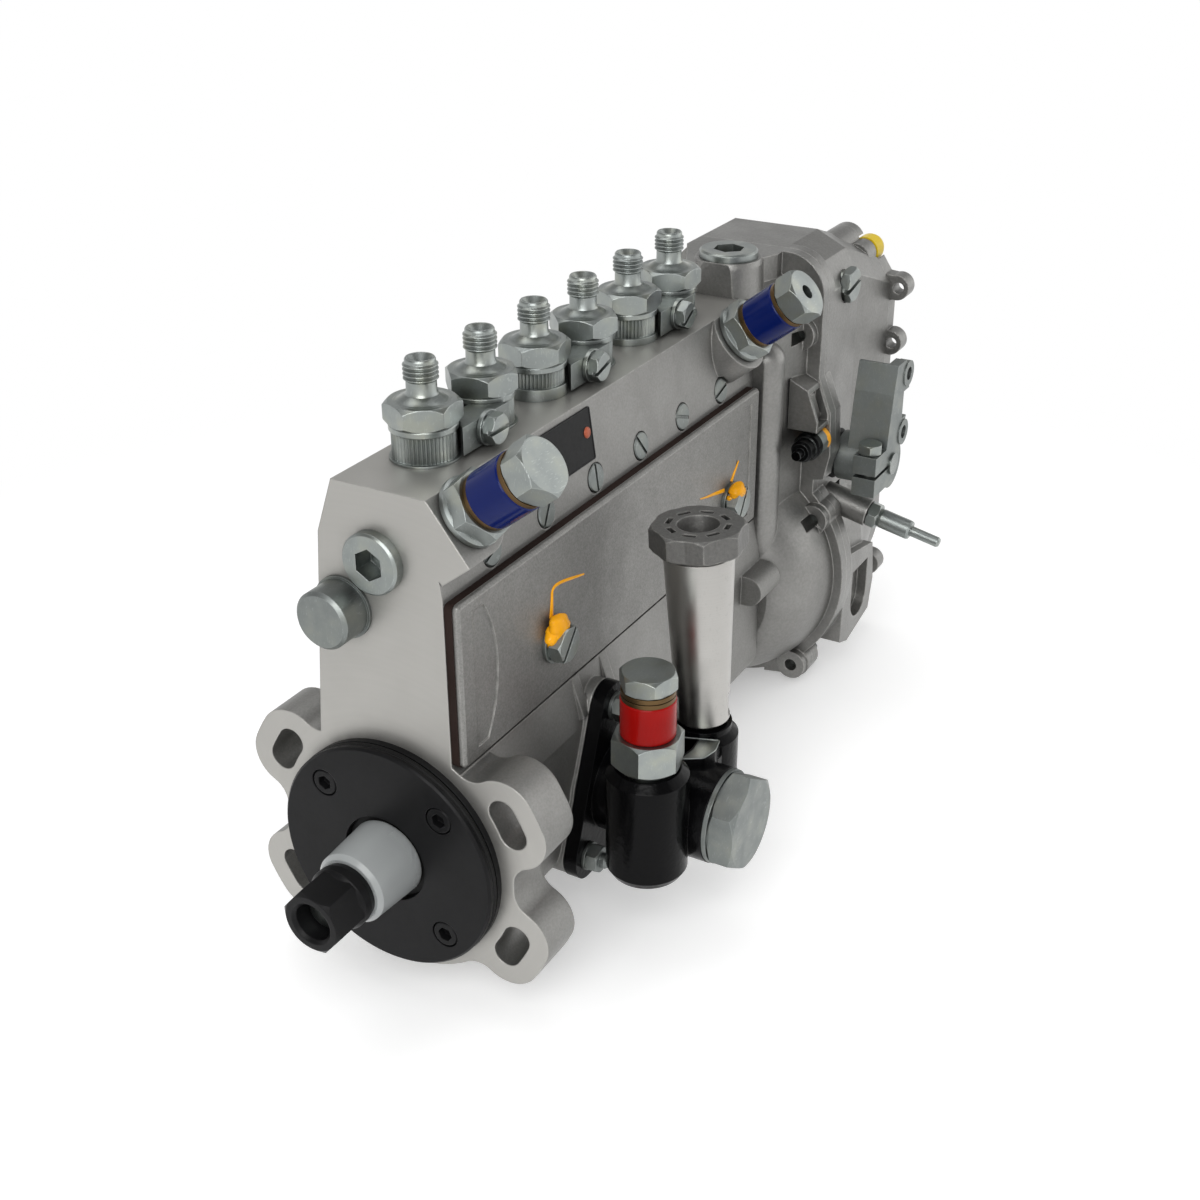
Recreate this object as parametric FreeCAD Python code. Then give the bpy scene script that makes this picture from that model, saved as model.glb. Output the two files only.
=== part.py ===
"""In-line diesel injection pump with six elements, mechanical governor and feed pump.

Millimetres. X runs along the camshaft from the drive end to the governor, +Z is up and -Y is the
side with the access cover. The origin is on the camshaft axis, in the face of the mounting flange.
"""
import FreeCAD
import Part
import math
import os

V = FreeCAD.Vector
X_AXIS = V(1, 0, 0)
Y_AXIS = V(0, 1, 0)
Z_AXIS = V(0, 0, 1)
STOP_AXIS = V(0, -0.976, -0.216)

# Cylinders
CYLINDERS = 6
PITCH = 35.0
FIRST_CYLINDER = 30.6
FIRING_ORDER = (1, 5, 3, 6, 2, 4)

# Fits
RUN = 0.05
LOOSE = 0.4

# Pump housing
HOUSING_LENGTH = 236.0
DECK_HEIGHT = 139.5
DECK_BACK = 15.9
DECK_FRONT = -20.8
SHOULDER_Z = DECK_HEIGHT - 20.0
SHOULDER_BACK = 23.0
BAND_Z = 105.5
SEAT_Y = -25.6
WAIST_Z = 40.0
WAIST_BACK = 30.0
WAIST_FRONT = -29.0
BOX_HALF_WIDTH = 33.0
BOX_TOP_Z = 20.0
BOX_BOTTOM = -40.0
BOX_CORNER = 14.0
CHAMBER_RADIUS = 24.5
WALL_END = 9.0
SPRING_ROOM_LOW = 51.0
SPRING_ROOM_HIGH = 98.0
SPRING_ROOM_BACK = 20.0
GALLERY_Z = 113.8
GALLERY_RADIUS = 5.5

# Mounting flange
FLANGE_THICKNESS = 18.0
FLANGE_RADIUS = 49.0
FLANGE_BOLT_RADIUS = 54.0
FLANGE_LOBE_RADIUS = 13.0
FLANGE_LOBE_ANGLES = (30.3, 151.5, -151.5, -30.3)
FLANGE_VALLEY_FILLET = 9.0
SLOT_WIDTH = 10.6
SLOT_HALF_ANGLE = 4.5

# Bearing cover, which is also the pilot that centres the pump
COVER_RADIUS = 44.0
COVER_THICKNESS = 7.5
COVER_HOLE_RADIUS = 17.0
COVER_SCREW_RADIUS = COVER_RADIUS - 9.8
COVER_SCREW_ANGLES = (45.0, 135.0, -135.0, -45.0)
COVER_GROOVE_DEPTH = 2.5
COVER_GROOVE_WIDTH = 2.8
SPIGOT_LENGTH = 4.0

# Camshaft and drive end
BEARING_OUTER = 26.0
BEARING_BORE = 12.5
BEARING_WIDTH = 14.0
SHAFT_RADIUS = 11.5
CAM_BASE_RADIUS = 14.0
CAM_LIFT = 8.0
CAM_NOSE_RADIUS = 7.0
CAM_WIDTH = 12.0
TAPER_LARGE_RADIUS = 10.0
TAPER_SMALL_RADIUS = 8.2
TAPER_BACK = -9.0
TAPER_FRONT = -26.6
SHAFT_THREAD_RADIUS = 7.0
SHAFT_FRONT = -42.0
SHAFT_SHOULDER = HOUSING_LENGTH + 14.0
SHAFT_REAR = HOUSING_LENGTH + 48.0
GOVERNOR_HUB_RADIUS = 9.0
SPINDLE_RADIUS = 5.0
SLEEVE_FRONT = -28.4
SLEEVE_BACK = -6.2
SLEEVE_FRONT_RADIUS = 13.6
SLEEVE_BACK_RADIUS = 14.8
SLEEVE_WALL = 2.0
NUT_FRONT = -49.2
NUT_FLANGE_FRONT = -34.2
NUT_BACK = -31.0
NUT_ACROSS_FLATS = 21.0
NUT_FLANGE_RADIUS = 11.7

# Feed pump drive
FEED_X = 87.0
FEED_Z = -9.8
ECCENTRIC_RADIUS = 18.0
ECCENTRIC_OFFSET = 3.0
ECCENTRIC_WIDTH = 10.0

# Tappets, parked at the top of their stroke
TAPPET_RADIUS = 13.0
TAPPET_LOW = 26.0
TAPPET_HIGH = 50.0
ROLLER_RADIUS = 8.0
ROLLER_WIDTH = 10.0
ROLLER_PIN_RADIUS = 3.0

# Pumping elements
BARREL_RADIUS = 8.6
BARREL_LOW = 84.0
BARREL_HIGH = 121.0
BARREL_COLLAR_RADIUS = 10.6
BARREL_COLLAR_LOW = 114.0
PLUNGER_RADIUS = 4.5
PLUNGER_TOP = 112.0
SLEEVE_WALL_THIN = 1.9
CONTROL_SLEEVE_LOW = 64.0
CONTROL_SLEEVE_HIGH = 97.0
SPRING_OUTER = 11.6
SPRING_WIRE = 1.8
SPRING_LOW = 54.5
SPRING_HIGH = 82.5

# Rack and toothed quadrants
MODULE = 1.5
QUADRANT_TEETH_IN_CIRCLE = 16
ADDENDUM = 1.2
ROD_PIN_RADIUS = 3.0
DEDENDUM = 1.6
TOOTH_THICKNESS = 2.0
FLANK_ANGLE = 20.0
RACK_Z = 93.5
RACK_Y = 14.6
RACK_RADIUS = 4.6
RACK_TRAVEL = 12.0
RACK_FRONT = 1.5
TOOTH_WIDTH = 6.0

# Delivery valve holders
HOLDER_TIP = DECK_HEIGHT + 34.3
HOLDER_RADIUS = 11.0
HOLDER_COLLAR_RADIUS = 12.0
NIPPLE_RADIUS = 5.9
NIPPLE_LENGTH = 7.5
NECK_RADIUS = 5.1
NECK_LENGTH = 4.3
HOLDER_HEX_LOW = DECK_HEIGHT + 12.3
HOLDER_HEX_HIGH = DECK_HEIGHT + 20.0
HOLDER_ACROSS_FLATS = 23.0
HOLDER_LOW = DECK_HEIGHT - 11.1
SERRATIONS = 48
SERRATION_DEPTH = 0.7
HOLDER_HEX_TURNS = (6.0, 43.0, 11.0, 46.0, 2.0, 57.0)
HOLDER_PLAIN_RINGS = (0.0, 0.0, 3.6, 0.0, 2.0, 0.0)
JAW_LOW = DECK_HEIGHT + 1.1
JAW_HIGH = DECK_HEIGHT + 10.9
JAW_REACH = 13.0
CLAMP_SCREW_RADIUS = 3.0
CLAMP_SCREW_Z = DECK_HEIGHT + 6.7

# Side cover
COVER_PLATE_THICKNESS = 2.4
GASKET_THICKNESS = 3.0
COVER_START = 0.8
COVER_END = HOUSING_LENGTH - 3.6
COVER_LOW = 42.2
COVER_HIGH = 103.8
COVER_SCREW_PLACES = ((59.1, 64.0), (204.9, 62.0))

# Fuel unions on the gallery
UNION_TILT = 38.0
FRONT_UNION_X = 13.7
REAR_UNION_X = HOUSING_LENGTH - 19.8
UNION_Y = -27.6
UNION_Z = DECK_HEIGHT - 8.3
UNION_BOSS_RADIUS = 15.0
UNION_COLLAR_RADIUS = 12.4
UNION_ACROSS_FLATS = 22.0
UNION_HOLE_RADIUS = 7.0
CAP_SLEEVE_RADIUS = 10.3
CAP_SLEEVE_LENGTH = 15.1
WASHER_RADIUS = 10.0
WASHER_THICKNESS = 1.7
UNION_HEX_HEIGHT = 9.3
HOLLOW_SCREW_ACROSS_FLATS = 19.0
HOLLOW_SCREW_HEAD = 9.3
INLET_SCREW_HEAD = 6.8

# Feed pump
PAD_Y = -34.5
FEED_FLANGE = 6.0
FEED_BOLTS = ((0.0, 34.8), (21.4, -21.2), (-21.4, -21.2))
FEED_BODY_RADIUS = 18.6
FEED_BODY_END = -86.5
FEED_PLUG_ACROSS_FLATS = 34.0
CHAMBERS_Y = -66.2
INLET_X = FEED_X - 21.9
OUTLET_X = FEED_X + 23.5
INLET_RADIUS = 15.4
INLET_TOP = 18.6
INLET_BOTTOM = -28.5
OUTLET_RADIUS = 14.0
OUTLET_TOP = 9.0
OUTLET_BOTTOM = -22.0
PRIMER_LEAN = 2.8
PRIMER_FOOT = 14.9
PRIMER_LENGTH = 70.4
PRIMER_NECK = 1.7
PRIMER_FOOT_RADIUS = 10.4
PRIMER_TOP_RADIUS = 13.4
PRIMER_BORE = 9.0
KNOB_RADIUS = 18.4
KNOB_THICKNESS = 9.2
KNOB_RECESS = 8.0

# Governor
JOINT_X = HOUSING_LENGTH + 40.7
JOINT_LIP = 6.0
GOVERNOR_TOP = 152.6
GOVERNOR_FRONT_Y = -42.7
GOVERNOR_BACK_Y = 28.0
GOVERNOR_CORNER = 18.0
GOVERNOR_BACK_CORNER = 8.0
GOVERNOR_RIM_STEP = 6.5
GOVERNOR_ROUND = 60.0
GOVERNOR_DOME = 55.5
GOVERNOR_DRUM = 53.0
GOVERNOR_WALL = 5.0
GOVERNOR_REAR = JOINT_X + 66.3
TOP_REAR = JOINT_X + 35.3
REAR_TOP = 141.0
REAR_FRONT_Y = -47.0
REAR_BACK_Y = 26.0
REAR_ROUND = 47.0
END_PLATE = 8.0
COLUMN_RADIUS = 8.5
COLUMN_TOP = 112.0
LUG_RADIUS = 7.8
LUG_LENGTH = 10.0
OUTER_BOLTS = ((-44.6, 30.5), (-38.0, -48.0), (37.0, -49.0), (44.6, 30.5), (33.0, 104.0))
INNER_BOLT = (-33.4, 117.5)
GOVERNOR_BOLT_PLACES = OUTER_BOLTS + (INNER_BOLT,)
GOVERNOR_BOLT_RADIUS = 3.0
EAR_LOW = 46.0
EAR_HIGH = 103.0
EAR_REACH = -50.0
ADJUSTER_Y = -43.8
ADJUSTER_Z = 69.8
ADJUSTER_RADIUS = 6.4
STOP_PLACE = (JOINT_X + 13.3, -64.1, 29.2)
CAP_PLACE = (GOVERNOR_REAR, -32.5, 136.0)
CAP_RADIUS = 6.6
HORN_PLACE = (-22.0, 139.0)
HORN_RADIUS = 8.5
SIDE_PLUG_PLACE = (JOINT_X + 22.0, GOVERNOR_FRONT_Y, 133.4)
SIDE_PLUG_ACROSS_FLATS = 14.0
TOP_PLUG_X = HOUSING_LENGTH + 13.0
TOP_PLUG_Y = -6.5
TOP_PLUG_RADIUS = 12.6
LEVER_X = JOINT_X + 15.0
LEVER_Z = 55.2
LEVER_SHAFT_RADIUS = 5.0
LEVER_BOSS_RADIUS = 12.0
LEVER_BOSS_END = GOVERNOR_FRONT_Y - 0.7
LEVER_HUB_START = LEVER_BOSS_END - 4.9
LEVER_HUB_END = -72.1
LEVER_HUB_RADIUS = 11.4
LEVER_EAR_WIDTH = 10.9
LEVER_EAR_REACH = 21.0
ARM_START = -53.5
ARM_WALL = 5.0
EYE_RADIUS = 6.0
EYE_BORE = 3.1
EYE_RELIEF = 0.6
EYE_THICKNESS = 5.0
EYE_PLACES = ((12.6, 39.6), (11.2, 11.8))
CRANK_RADIUS = 13.0
LINK_PIVOT_Z = 4.0
LINK_PIN_RADIUS = 3.0
WEIGHT_PIN_X = HOUSING_LENGTH + 17.0
WEIGHT_PIN_Z = 27.0
WEIGHT_TOE = 13.0


def cylinder_x(i):
    """Where cylinder i, counted from 0, has its axis."""
    return FIRST_CYLINDER + PITCH*i


def cylinder(base, axis, radius, length):
    return Part.makeCylinder(radius, length, base, axis)


def box(low, high):
    return Part.makeBox(high[0] - low[0], high[1] - low[1], high[2] - low[2], V(*low))


def prism(points, vector):
    """The closed polygon through points, extruded by vector."""
    wire = Part.makePolygon(points + [points[0]])
    return Part.Face(wire).extrude(vector)


def turned(profile, base, axis):
    """A solid of revolution: profile is a list of (distance along the axis, radius)."""
    points = [V(r, 0, a) for a, r in profile]
    closed = [V(0, 0, profile[0][0])] + points + [V(0, 0, profile[-1][0])]
    wire = Part.makePolygon(closed + [closed[0]])
    solid = Part.Face(wire).revolve(V(0, 0, 0), Z_AXIS, 360)
    return placed(solid, base, axis)


def ring(profile, base, axis):
    """A ring of revolution whose closed profile doesn't touch the axis."""
    points = [V(r, 0, a) for a, r in profile]
    wire = Part.makePolygon(points + [points[0]])
    solid = Part.Face(wire).revolve(V(0, 0, 0), Z_AXIS, 360)
    return placed(solid, base, axis)


def placed(shape, base, axis, turn=0.0):
    """The shape, modelled along +Z at the origin, set at base along axis and turned about it."""
    spun = FreeCAD.Placement(V(0, 0, 0), FreeCAD.Rotation(Z_AXIS, turn))
    set_up = FreeCAD.Placement(base, FreeCAD.Rotation(Z_AXIS, axis))
    moved = shape.copy()
    moved.Placement = set_up.multiply(spun)
    return moved


def hexagon(across_flats, height, chamfer=0.9):
    """A hexagonal prism on +Z from the origin, with the turned chamfer of a nut at both ends."""
    radius = across_flats/math.sqrt(3)
    corners = [V(radius*math.cos(math.radians(60*k)), radius*math.sin(math.radians(60*k)), 0) for k in range(6)]
    blank = prism(corners, V(0, 0, height))
    flat = across_flats/2
    cone = turned([(0, flat), (chamfer, radius + 0.01), (height - chamfer, radius + 0.01), (height, flat)],
                  V(0, 0, 0), Z_AXIS)
    return blank.common(cone)


def slot_cutter(width, depth, length, top):
    """A box that cuts a screwdriver slot into a head whose top is at height top."""
    return box((-length/2, -width/2, top - depth), (length/2, width/2, top + 1))


def fused(shapes):
    whole = shapes[0]
    if len(shapes) > 1:
        whole = shapes[0].multiFuse(shapes[1:])
    return whole.removeSplitter()


def write(name, shapes):
    """Writes one node: a single solid, or several separate solids."""
    parts = shapes if isinstance(shapes, list) else [shapes]
    solids = [solid for part in parts for solid in part.Solids]
    shape = solids[0] if len(solids) == 1 else Part.makeCompound(solids)
    shape.exportStep(os.path.join("parts", name + ".step"))


def polar(radius, angle):
    """Y and Z of a point at an angle from +Y, counted towards +Z, in a plane across the camshaft."""
    return radius*math.cos(math.radians(angle)), radius*math.sin(math.radians(angle))


def lobe(angle, radius, thickness, start, spread):
    """A bar bent along the bolt circle, with round ends, standing on X = start."""
    pieces = []
    for turn in (-spread, spread):
        y, z = polar(FLANGE_BOLT_RADIUS, angle + turn)
        pieces.append(cylinder(V(start, y, z), X_AXIS, radius, thickness))
    outer = Part.makeCylinder(FLANGE_BOLT_RADIUS + radius, thickness, V(0, 0, 0), Z_AXIS, 2*spread)
    inner = Part.makeCylinder(FLANGE_BOLT_RADIUS - radius, thickness, V(0, 0, 0), Z_AXIS, 2*spread)
    middle = outer.cut(inner)
    middle.rotate(V(0, 0, 0), Z_AXIS, angle - spread)
    middle.Placement = FreeCAD.Placement(V(start, 0, 0), FreeCAD.Rotation(V(0, 1, 0), V(0, 0, 1), V(1, 0, 0))
                                         ).multiply(middle.Placement)
    pieces.append(middle)
    return fused(pieces)


def flange_blank():
    """The mounting flange's outline, with its valleys between the four lobes rounded."""
    plate = fused([cylinder(V(0, 0, 0), X_AXIS, FLANGE_RADIUS, FLANGE_THICKNESS)]
                  + [lobe(a, FLANGE_LOBE_RADIUS, FLANGE_THICKNESS, 0, SLOT_HALF_ANGLE) for a in FLANGE_LOBE_ANGLES])
    valleys = [edge for edge in plate.Edges if is_valley(edge)]
    return plate.makeFillet(FLANGE_VALLEY_FILLET, valleys)


def is_valley(edge):
    """Whether an edge is one of the inner corners where a lobe leaves the flange's round body."""
    box_of_edge = edge.BoundBox
    along_x = box_of_edge.XLength > FLANGE_THICKNESS - 0.1 and box_of_edge.YLength + box_of_edge.ZLength < 0.01
    distance = math.hypot(box_of_edge.YMin, box_of_edge.ZMin)
    return along_x and abs(distance - FLANGE_RADIUS) < 0.2


def housing_section():
    """The outline of the housing across the camshaft, counted round from the deck's back edge."""
    return [V(0, DECK_BACK, DECK_HEIGHT), V(0, SHOULDER_BACK, SHOULDER_Z), V(0, WAIST_BACK, WAIST_Z),
            V(0, BOX_HALF_WIDTH, BOX_TOP_Z), V(0, BOX_HALF_WIDTH, BOX_BOTTOM), V(0, -BOX_HALF_WIDTH, BOX_BOTTOM),
            V(0, -BOX_HALF_WIDTH, BOX_TOP_Z), V(0, WAIST_FRONT, WAIST_Z), V(0, SEAT_Y, WAIST_Z),
            V(0, SEAT_Y, BAND_Z), V(0, DECK_FRONT, DECK_HEIGHT)]


def union_axis():
    tilt = math.radians(UNION_TILT)
    return V(0, -math.cos(tilt), math.sin(tilt))


def union_base(x):
    return V(x, UNION_Y, UNION_Z)


def union_boss(x):
    """The round boss that a fuel union screws into, square to its tilted axis."""
    depth = 14.0
    axis = union_axis()
    boss = cylinder(union_base(x) - axis*depth, axis, UNION_BOSS_RADIUS, depth)
    if x < PITCH:
        side = V(0, axis.z, -axis.y)
        corner = union_base(0) - axis*depth - side*UNION_BOSS_RADIUS
        boss = fused([boss, prism([corner, corner + axis*depth, corner + axis*depth + side*2*UNION_BOSS_RADIUS,
                                   corner + side*2*UNION_BOSS_RADIUS], V(x, 0, 0))])
    return boss.common(box((0, -60, 60), (HOUSING_LENGTH, 40, DECK_HEIGHT)))


def feed_pad():
    """The raised triangular pad that the feed pump is bolted to."""
    return feed_flange_plate(PAD_Y, -BOX_HALF_WIDTH + 6 - PAD_Y, 9.0)


def feed_bolts():
    return [V(FEED_X + x, 0, FEED_Z + z) for x, z in FEED_BOLTS]


def feed_flange_plate(y, thickness, radius):
    """A plate round the three feed pump bolts, from Y = y towards +Y."""
    corners = feed_bolts()
    rounds = [cylinder(V(c.x, y, c.z), Y_AXIS, radius, thickness) for c in corners]
    sides = []
    for k in range(3):
        a = corners[k]
        b = corners[(k + 1) % 3]
        along = b.sub(a)
        along.normalize()
        out = V(along.z, 0, -along.x)*radius
        sides.append(prism([V(p.x, y, p.z) for p in (a + out, b + out, b - out, a - out)], V(0, thickness, 0)))
    middle = cylinder(V(FEED_X, y, FEED_Z), Y_AXIS, 22.0, thickness)
    return fused(rounds + sides + [middle])


def gussets():
    """The slanting webs that stiffen the feed pump's pad from under the side cover."""
    webs = []
    for x in (FEED_X - 13.0, FEED_X + 8.0):
        webs.append(prism([V(x, -BOX_HALF_WIDTH + 4, FEED_Z + 30), V(x, PAD_Y, FEED_Z + 34), V(x, WAIST_FRONT, WAIST_Z)],
                          V(5.0, 0, 0)))
    return webs


def pump_housing():
    body = prism(housing_section(), V(HOUSING_LENGTH, 0, 0))
    bottom = [e for e in body.Edges if e.BoundBox.XLength > 100 and abs(e.BoundBox.ZMax - BOX_BOTTOM) < 0.1]
    body = body.makeFillet(BOX_CORNER, bottom)
    lug_y = -BOX_HALF_WIDTH - 3
    lug = fused([cylinder(V(HOUSING_LENGTH - 20, lug_y, 14), X_AXIS, 7, 20),
                 box((HOUSING_LENGTH - 20, lug_y, 7), (HOUSING_LENGTH, -20, 21))])
    body = fused([body, flange_blank(), union_boss(FRONT_UNION_X), union_boss(REAR_UNION_X), feed_pad(), lug]
                 + gussets())
    cuts = [cylinder(V(BEARING_WIDTH, 0, 0), X_AXIS, CHAMBER_RADIUS, HOUSING_LENGTH - 2*BEARING_WIDTH),
            cylinder(V(-1, 0, 0), X_AXIS, BEARING_OUTER, BEARING_WIDTH + SPIGOT_LENGTH + 1),
            cylinder(V(HOUSING_LENGTH - BEARING_WIDTH - 1, 0, 0), X_AXIS, BEARING_OUTER, BEARING_WIDTH + 2),
            box((WALL_END, -60, SPRING_ROOM_LOW), (HOUSING_LENGTH - WALL_END, SPRING_ROOM_BACK, SPRING_ROOM_HIGH)),
            cylinder(V(-1, RACK_Y, RACK_Z), X_AXIS, RACK_RADIUS + RUN, HOUSING_LENGTH + 2),
            cylinder(V(-1, 0, GALLERY_Z), X_AXIS, GALLERY_RADIUS, HOUSING_LENGTH - 8),
            cylinder(V(-1, 0, GALLERY_Z), X_AXIS, 9.0, 11),
            cylinder(V(FEED_X, PAD_Y - 1, FEED_Z), Y_AXIS, 16.0, 26)]
    for i in range(CYLINDERS):
        x = cylinder_x(i)
        cuts.append(cylinder(V(x, 0, 10), Z_AXIS, TAPPET_RADIUS + RUN, SPRING_ROOM_LOW - 9))
        cuts.append(cylinder(V(x, 0, SPRING_ROOM_HIGH - 1), Z_AXIS, BARREL_RADIUS, 30))
        cuts.append(cylinder(V(x, 0, BARREL_COLLAR_LOW), Z_AXIS, BARREL_COLLAR_RADIUS, 20))
        cuts.append(cylinder(V(x, 0, BARREL_HIGH), Z_AXIS, HOLDER_RADIUS, 30))
        cuts.append(barrel_screw_hole(x))
    for angle in FLANGE_LOBE_ANGLES:
        cuts.append(lobe(angle, SLOT_WIDTH/2, FLANGE_THICKNESS + 2, -1, SLOT_HALF_ANGLE))
    for angle in COVER_SCREW_ANGLES:
        y, z = polar(COVER_SCREW_RADIUS, angle)
        cuts.append(cylinder(V(-1, y, z), X_AXIS, 2.6, 15))
    for x in (FRONT_UNION_X, REAR_UNION_X):
        cuts.append(cylinder(union_base(x) + union_axis()*1, union_axis()*-1, UNION_HOLE_RADIUS, 17))
    for place in feed_bolts():
        cuts.append(cylinder(V(place.x, PAD_Y - 1, place.z), Y_AXIS, 3.0, 12))
    for x, z in COVER_SCREW_PLACES:
        cuts.append(cylinder(V(x, SEAT_Y - 1, z), Y_AXIS, 3.4, 8))
    return body.cut(Part.makeCompound(cuts))


def barrel_screw_axis():
    run = V(0, SEAT_Y - DECK_FRONT, BAND_Z - DECK_HEIGHT)
    run.normalize()
    return V(0, run.z, -run.y)


def barrel_screw_place(x):
    share = 0.86
    y = DECK_FRONT + (SEAT_Y - DECK_FRONT)*share
    z = DECK_HEIGHT + (BAND_Z - DECK_HEIGHT)*share
    return V(x, y, z)


def barrel_screw_hole(x):
    axis = barrel_screw_axis()
    place = barrel_screw_place(x)
    return fused([cylinder(place + axis*2, axis*-1, 5.8, 3.2), cylinder(place, axis*-1, 3.2, 12)])


def barrel_screws():
    shapes = []
    head = turned([(-10, 3.2), (-1.2, 3.2), (-1.2, 5.4), (0.2, 5.4), (0.6, 4.9)], V(0, 0, 0), Z_AXIS)
    head = head.cut(slot_cutter(1.3, 0.8, 14, 0.6))
    for i in range(CYLINDERS):
        shapes.append(placed(head, barrel_screw_place(cylinder_x(i)), barrel_screw_axis(), 20.0 + 35*i))
    return shapes


def bearing_cover():
    groove_low = -COVER_THICKNESS + 2.3
    rim = COVER_RADIUS - COVER_GROOVE_DEPTH
    profile = [(-COVER_THICKNESS, COVER_HOLE_RADIUS), (-COVER_THICKNESS, COVER_RADIUS - 0.8),
               (-COVER_THICKNESS + 0.8, COVER_RADIUS), (groove_low, COVER_RADIUS), (groove_low, rim),
               (groove_low + COVER_GROOVE_WIDTH, rim), (groove_low + COVER_GROOVE_WIDTH, COVER_RADIUS),
               (0, COVER_RADIUS), (0, BEARING_OUTER), (SPIGOT_LENGTH, BEARING_OUTER),
               (SPIGOT_LENGTH, COVER_HOLE_RADIUS)]
    disc = ring(profile, V(0, 0, 0), X_AXIS)
    for angle in COVER_SCREW_ANGLES:
        y, z = polar(COVER_SCREW_RADIUS, angle)
        disc = disc.cut(cylinder(V(-COVER_THICKNESS - 1, y, z), X_AXIS, 5.3, 6.2))
        disc = disc.cut(cylinder(V(-COVER_THICKNESS - 1, y, z), X_AXIS, 3.1, 20))
    return disc


def bearing_cover_screws():
    """Socket head screws sunk in the bearing cover."""
    head = turned([(-5.2, 5.0), (-0.6, 5.0), (0, 4.5)], V(0, 0, 0), Z_AXIS)
    shank = cylinder(V(0, 0, -18), Z_AXIS, 2.5, 13)
    socket = hexagon(5.0, 4.0, 0.1)
    socket.translate(V(0, 0, -3.0))
    screw = fused([head, shank]).cut(socket)
    places = [polar(COVER_SCREW_RADIUS, a) for a in COVER_SCREW_ANGLES]
    return [placed(screw, V(-COVER_THICKNESS, y, z), X_AXIS*-1, 12.0*k) for k, (y, z) in enumerate(places)]


def rubber_seals():
    """The shaft's lip seal, the O-ring in the pilot's groove and the control shaft's dust ring."""
    lip = ring([(-4.5, 16.9), (1.5, 16.9), (1.5, 15.5), (-2.8, 15.5), (-2.8, 11.6), (-4.5, 11.15)], V(0, 0, 0), X_AXIS)
    wire = COVER_GROOVE_WIDTH/2
    centre = COVER_RADIUS - COVER_GROOVE_DEPTH + wire
    o_ring = Part.makeTorus(centre, wire - 0.1, V(-COVER_THICKNESS + 2.3 + wire, 0, 0), X_AXIS)
    dust = ring([(0.2, LEVER_SHAFT_RADIUS + 0.15), (0.2, LEVER_BOSS_RADIUS - 0.6), (2.0, LEVER_BOSS_RADIUS - 0.2),
                 (3.6, LEVER_BOSS_RADIUS - 1.4), (3.6, LEVER_SHAFT_RADIUS + 0.15)], V(LEVER_X, LEVER_BOSS_END, LEVER_Z), Y_AXIS*-1)
    return [lip, o_ring, dust]


def bearing_starts():
    return SPIGOT_LENGTH + 0.2, HOUSING_LENGTH - BEARING_WIDTH - 0.2


def bearing_cups():
    """Outer rings of the two roller bearings."""
    wall = 4.0
    shapes = []
    for start in bearing_starts():
        shapes.append(ring([(0, BEARING_OUTER - wall), (0, BEARING_OUTER), (BEARING_WIDTH - 1, BEARING_OUTER),
                            (BEARING_WIDTH - 1, BEARING_OUTER - wall)], V(start, 0, 0), X_AXIS))
    return shapes


def bearing_cones():
    """Inner rings of the two roller bearings with their rollers."""
    roller = 2.6
    pitch_radius = BEARING_OUTER - 4.0 - roller - RUN
    shapes = []
    for start in bearing_starts():
        inner = pitch_radius - roller
        core = ring([(0, BEARING_BORE), (0, inner), (BEARING_WIDTH - 1, inner), (BEARING_WIDTH - 1, BEARING_BORE)],
                    V(start, 0, 0), X_AXIS)
        rollers = []
        for k in range(12):
            y, z = polar(pitch_radius - 0.02, 30*k)
            rollers.append(cylinder(V(start + 1.5, y, z), X_AXIS, roller, BEARING_WIDTH - 4))
        shapes.append(fused([core] + rollers))
    return shapes


def cam(x, angle):
    """A disc cam: the outline round a base circle and a smaller nose circle, with tangent flanks."""
    reach = CAM_BASE_RADIUS + CAM_LIFT - CAM_NOSE_RADIUS
    base = cylinder(V(x - CAM_WIDTH/2, 0, 0), X_AXIS, CAM_BASE_RADIUS, CAM_WIDTH)
    y, z = polar(reach, angle)
    nose = cylinder(V(x - CAM_WIDTH/2, y, z), X_AXIS, CAM_NOSE_RADIUS, CAM_WIDTH)
    lean = math.degrees(math.acos((CAM_BASE_RADIUS - CAM_NOSE_RADIUS)/reach))
    corners = []
    for side in (-1, 1):
        direction = polar(1, angle + side*lean)
        corners.append(V(x - CAM_WIDTH/2, CAM_BASE_RADIUS*direction[0], CAM_BASE_RADIUS*direction[1]))
        corners.append(V(x - CAM_WIDTH/2, y + CAM_NOSE_RADIUS*direction[0], z + CAM_NOSE_RADIUS*direction[1]))
    flanks = prism([corners[0], corners[1], corners[3], corners[2]], V(CAM_WIDTH, 0, 0))
    return [base, nose, flanks]


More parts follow.
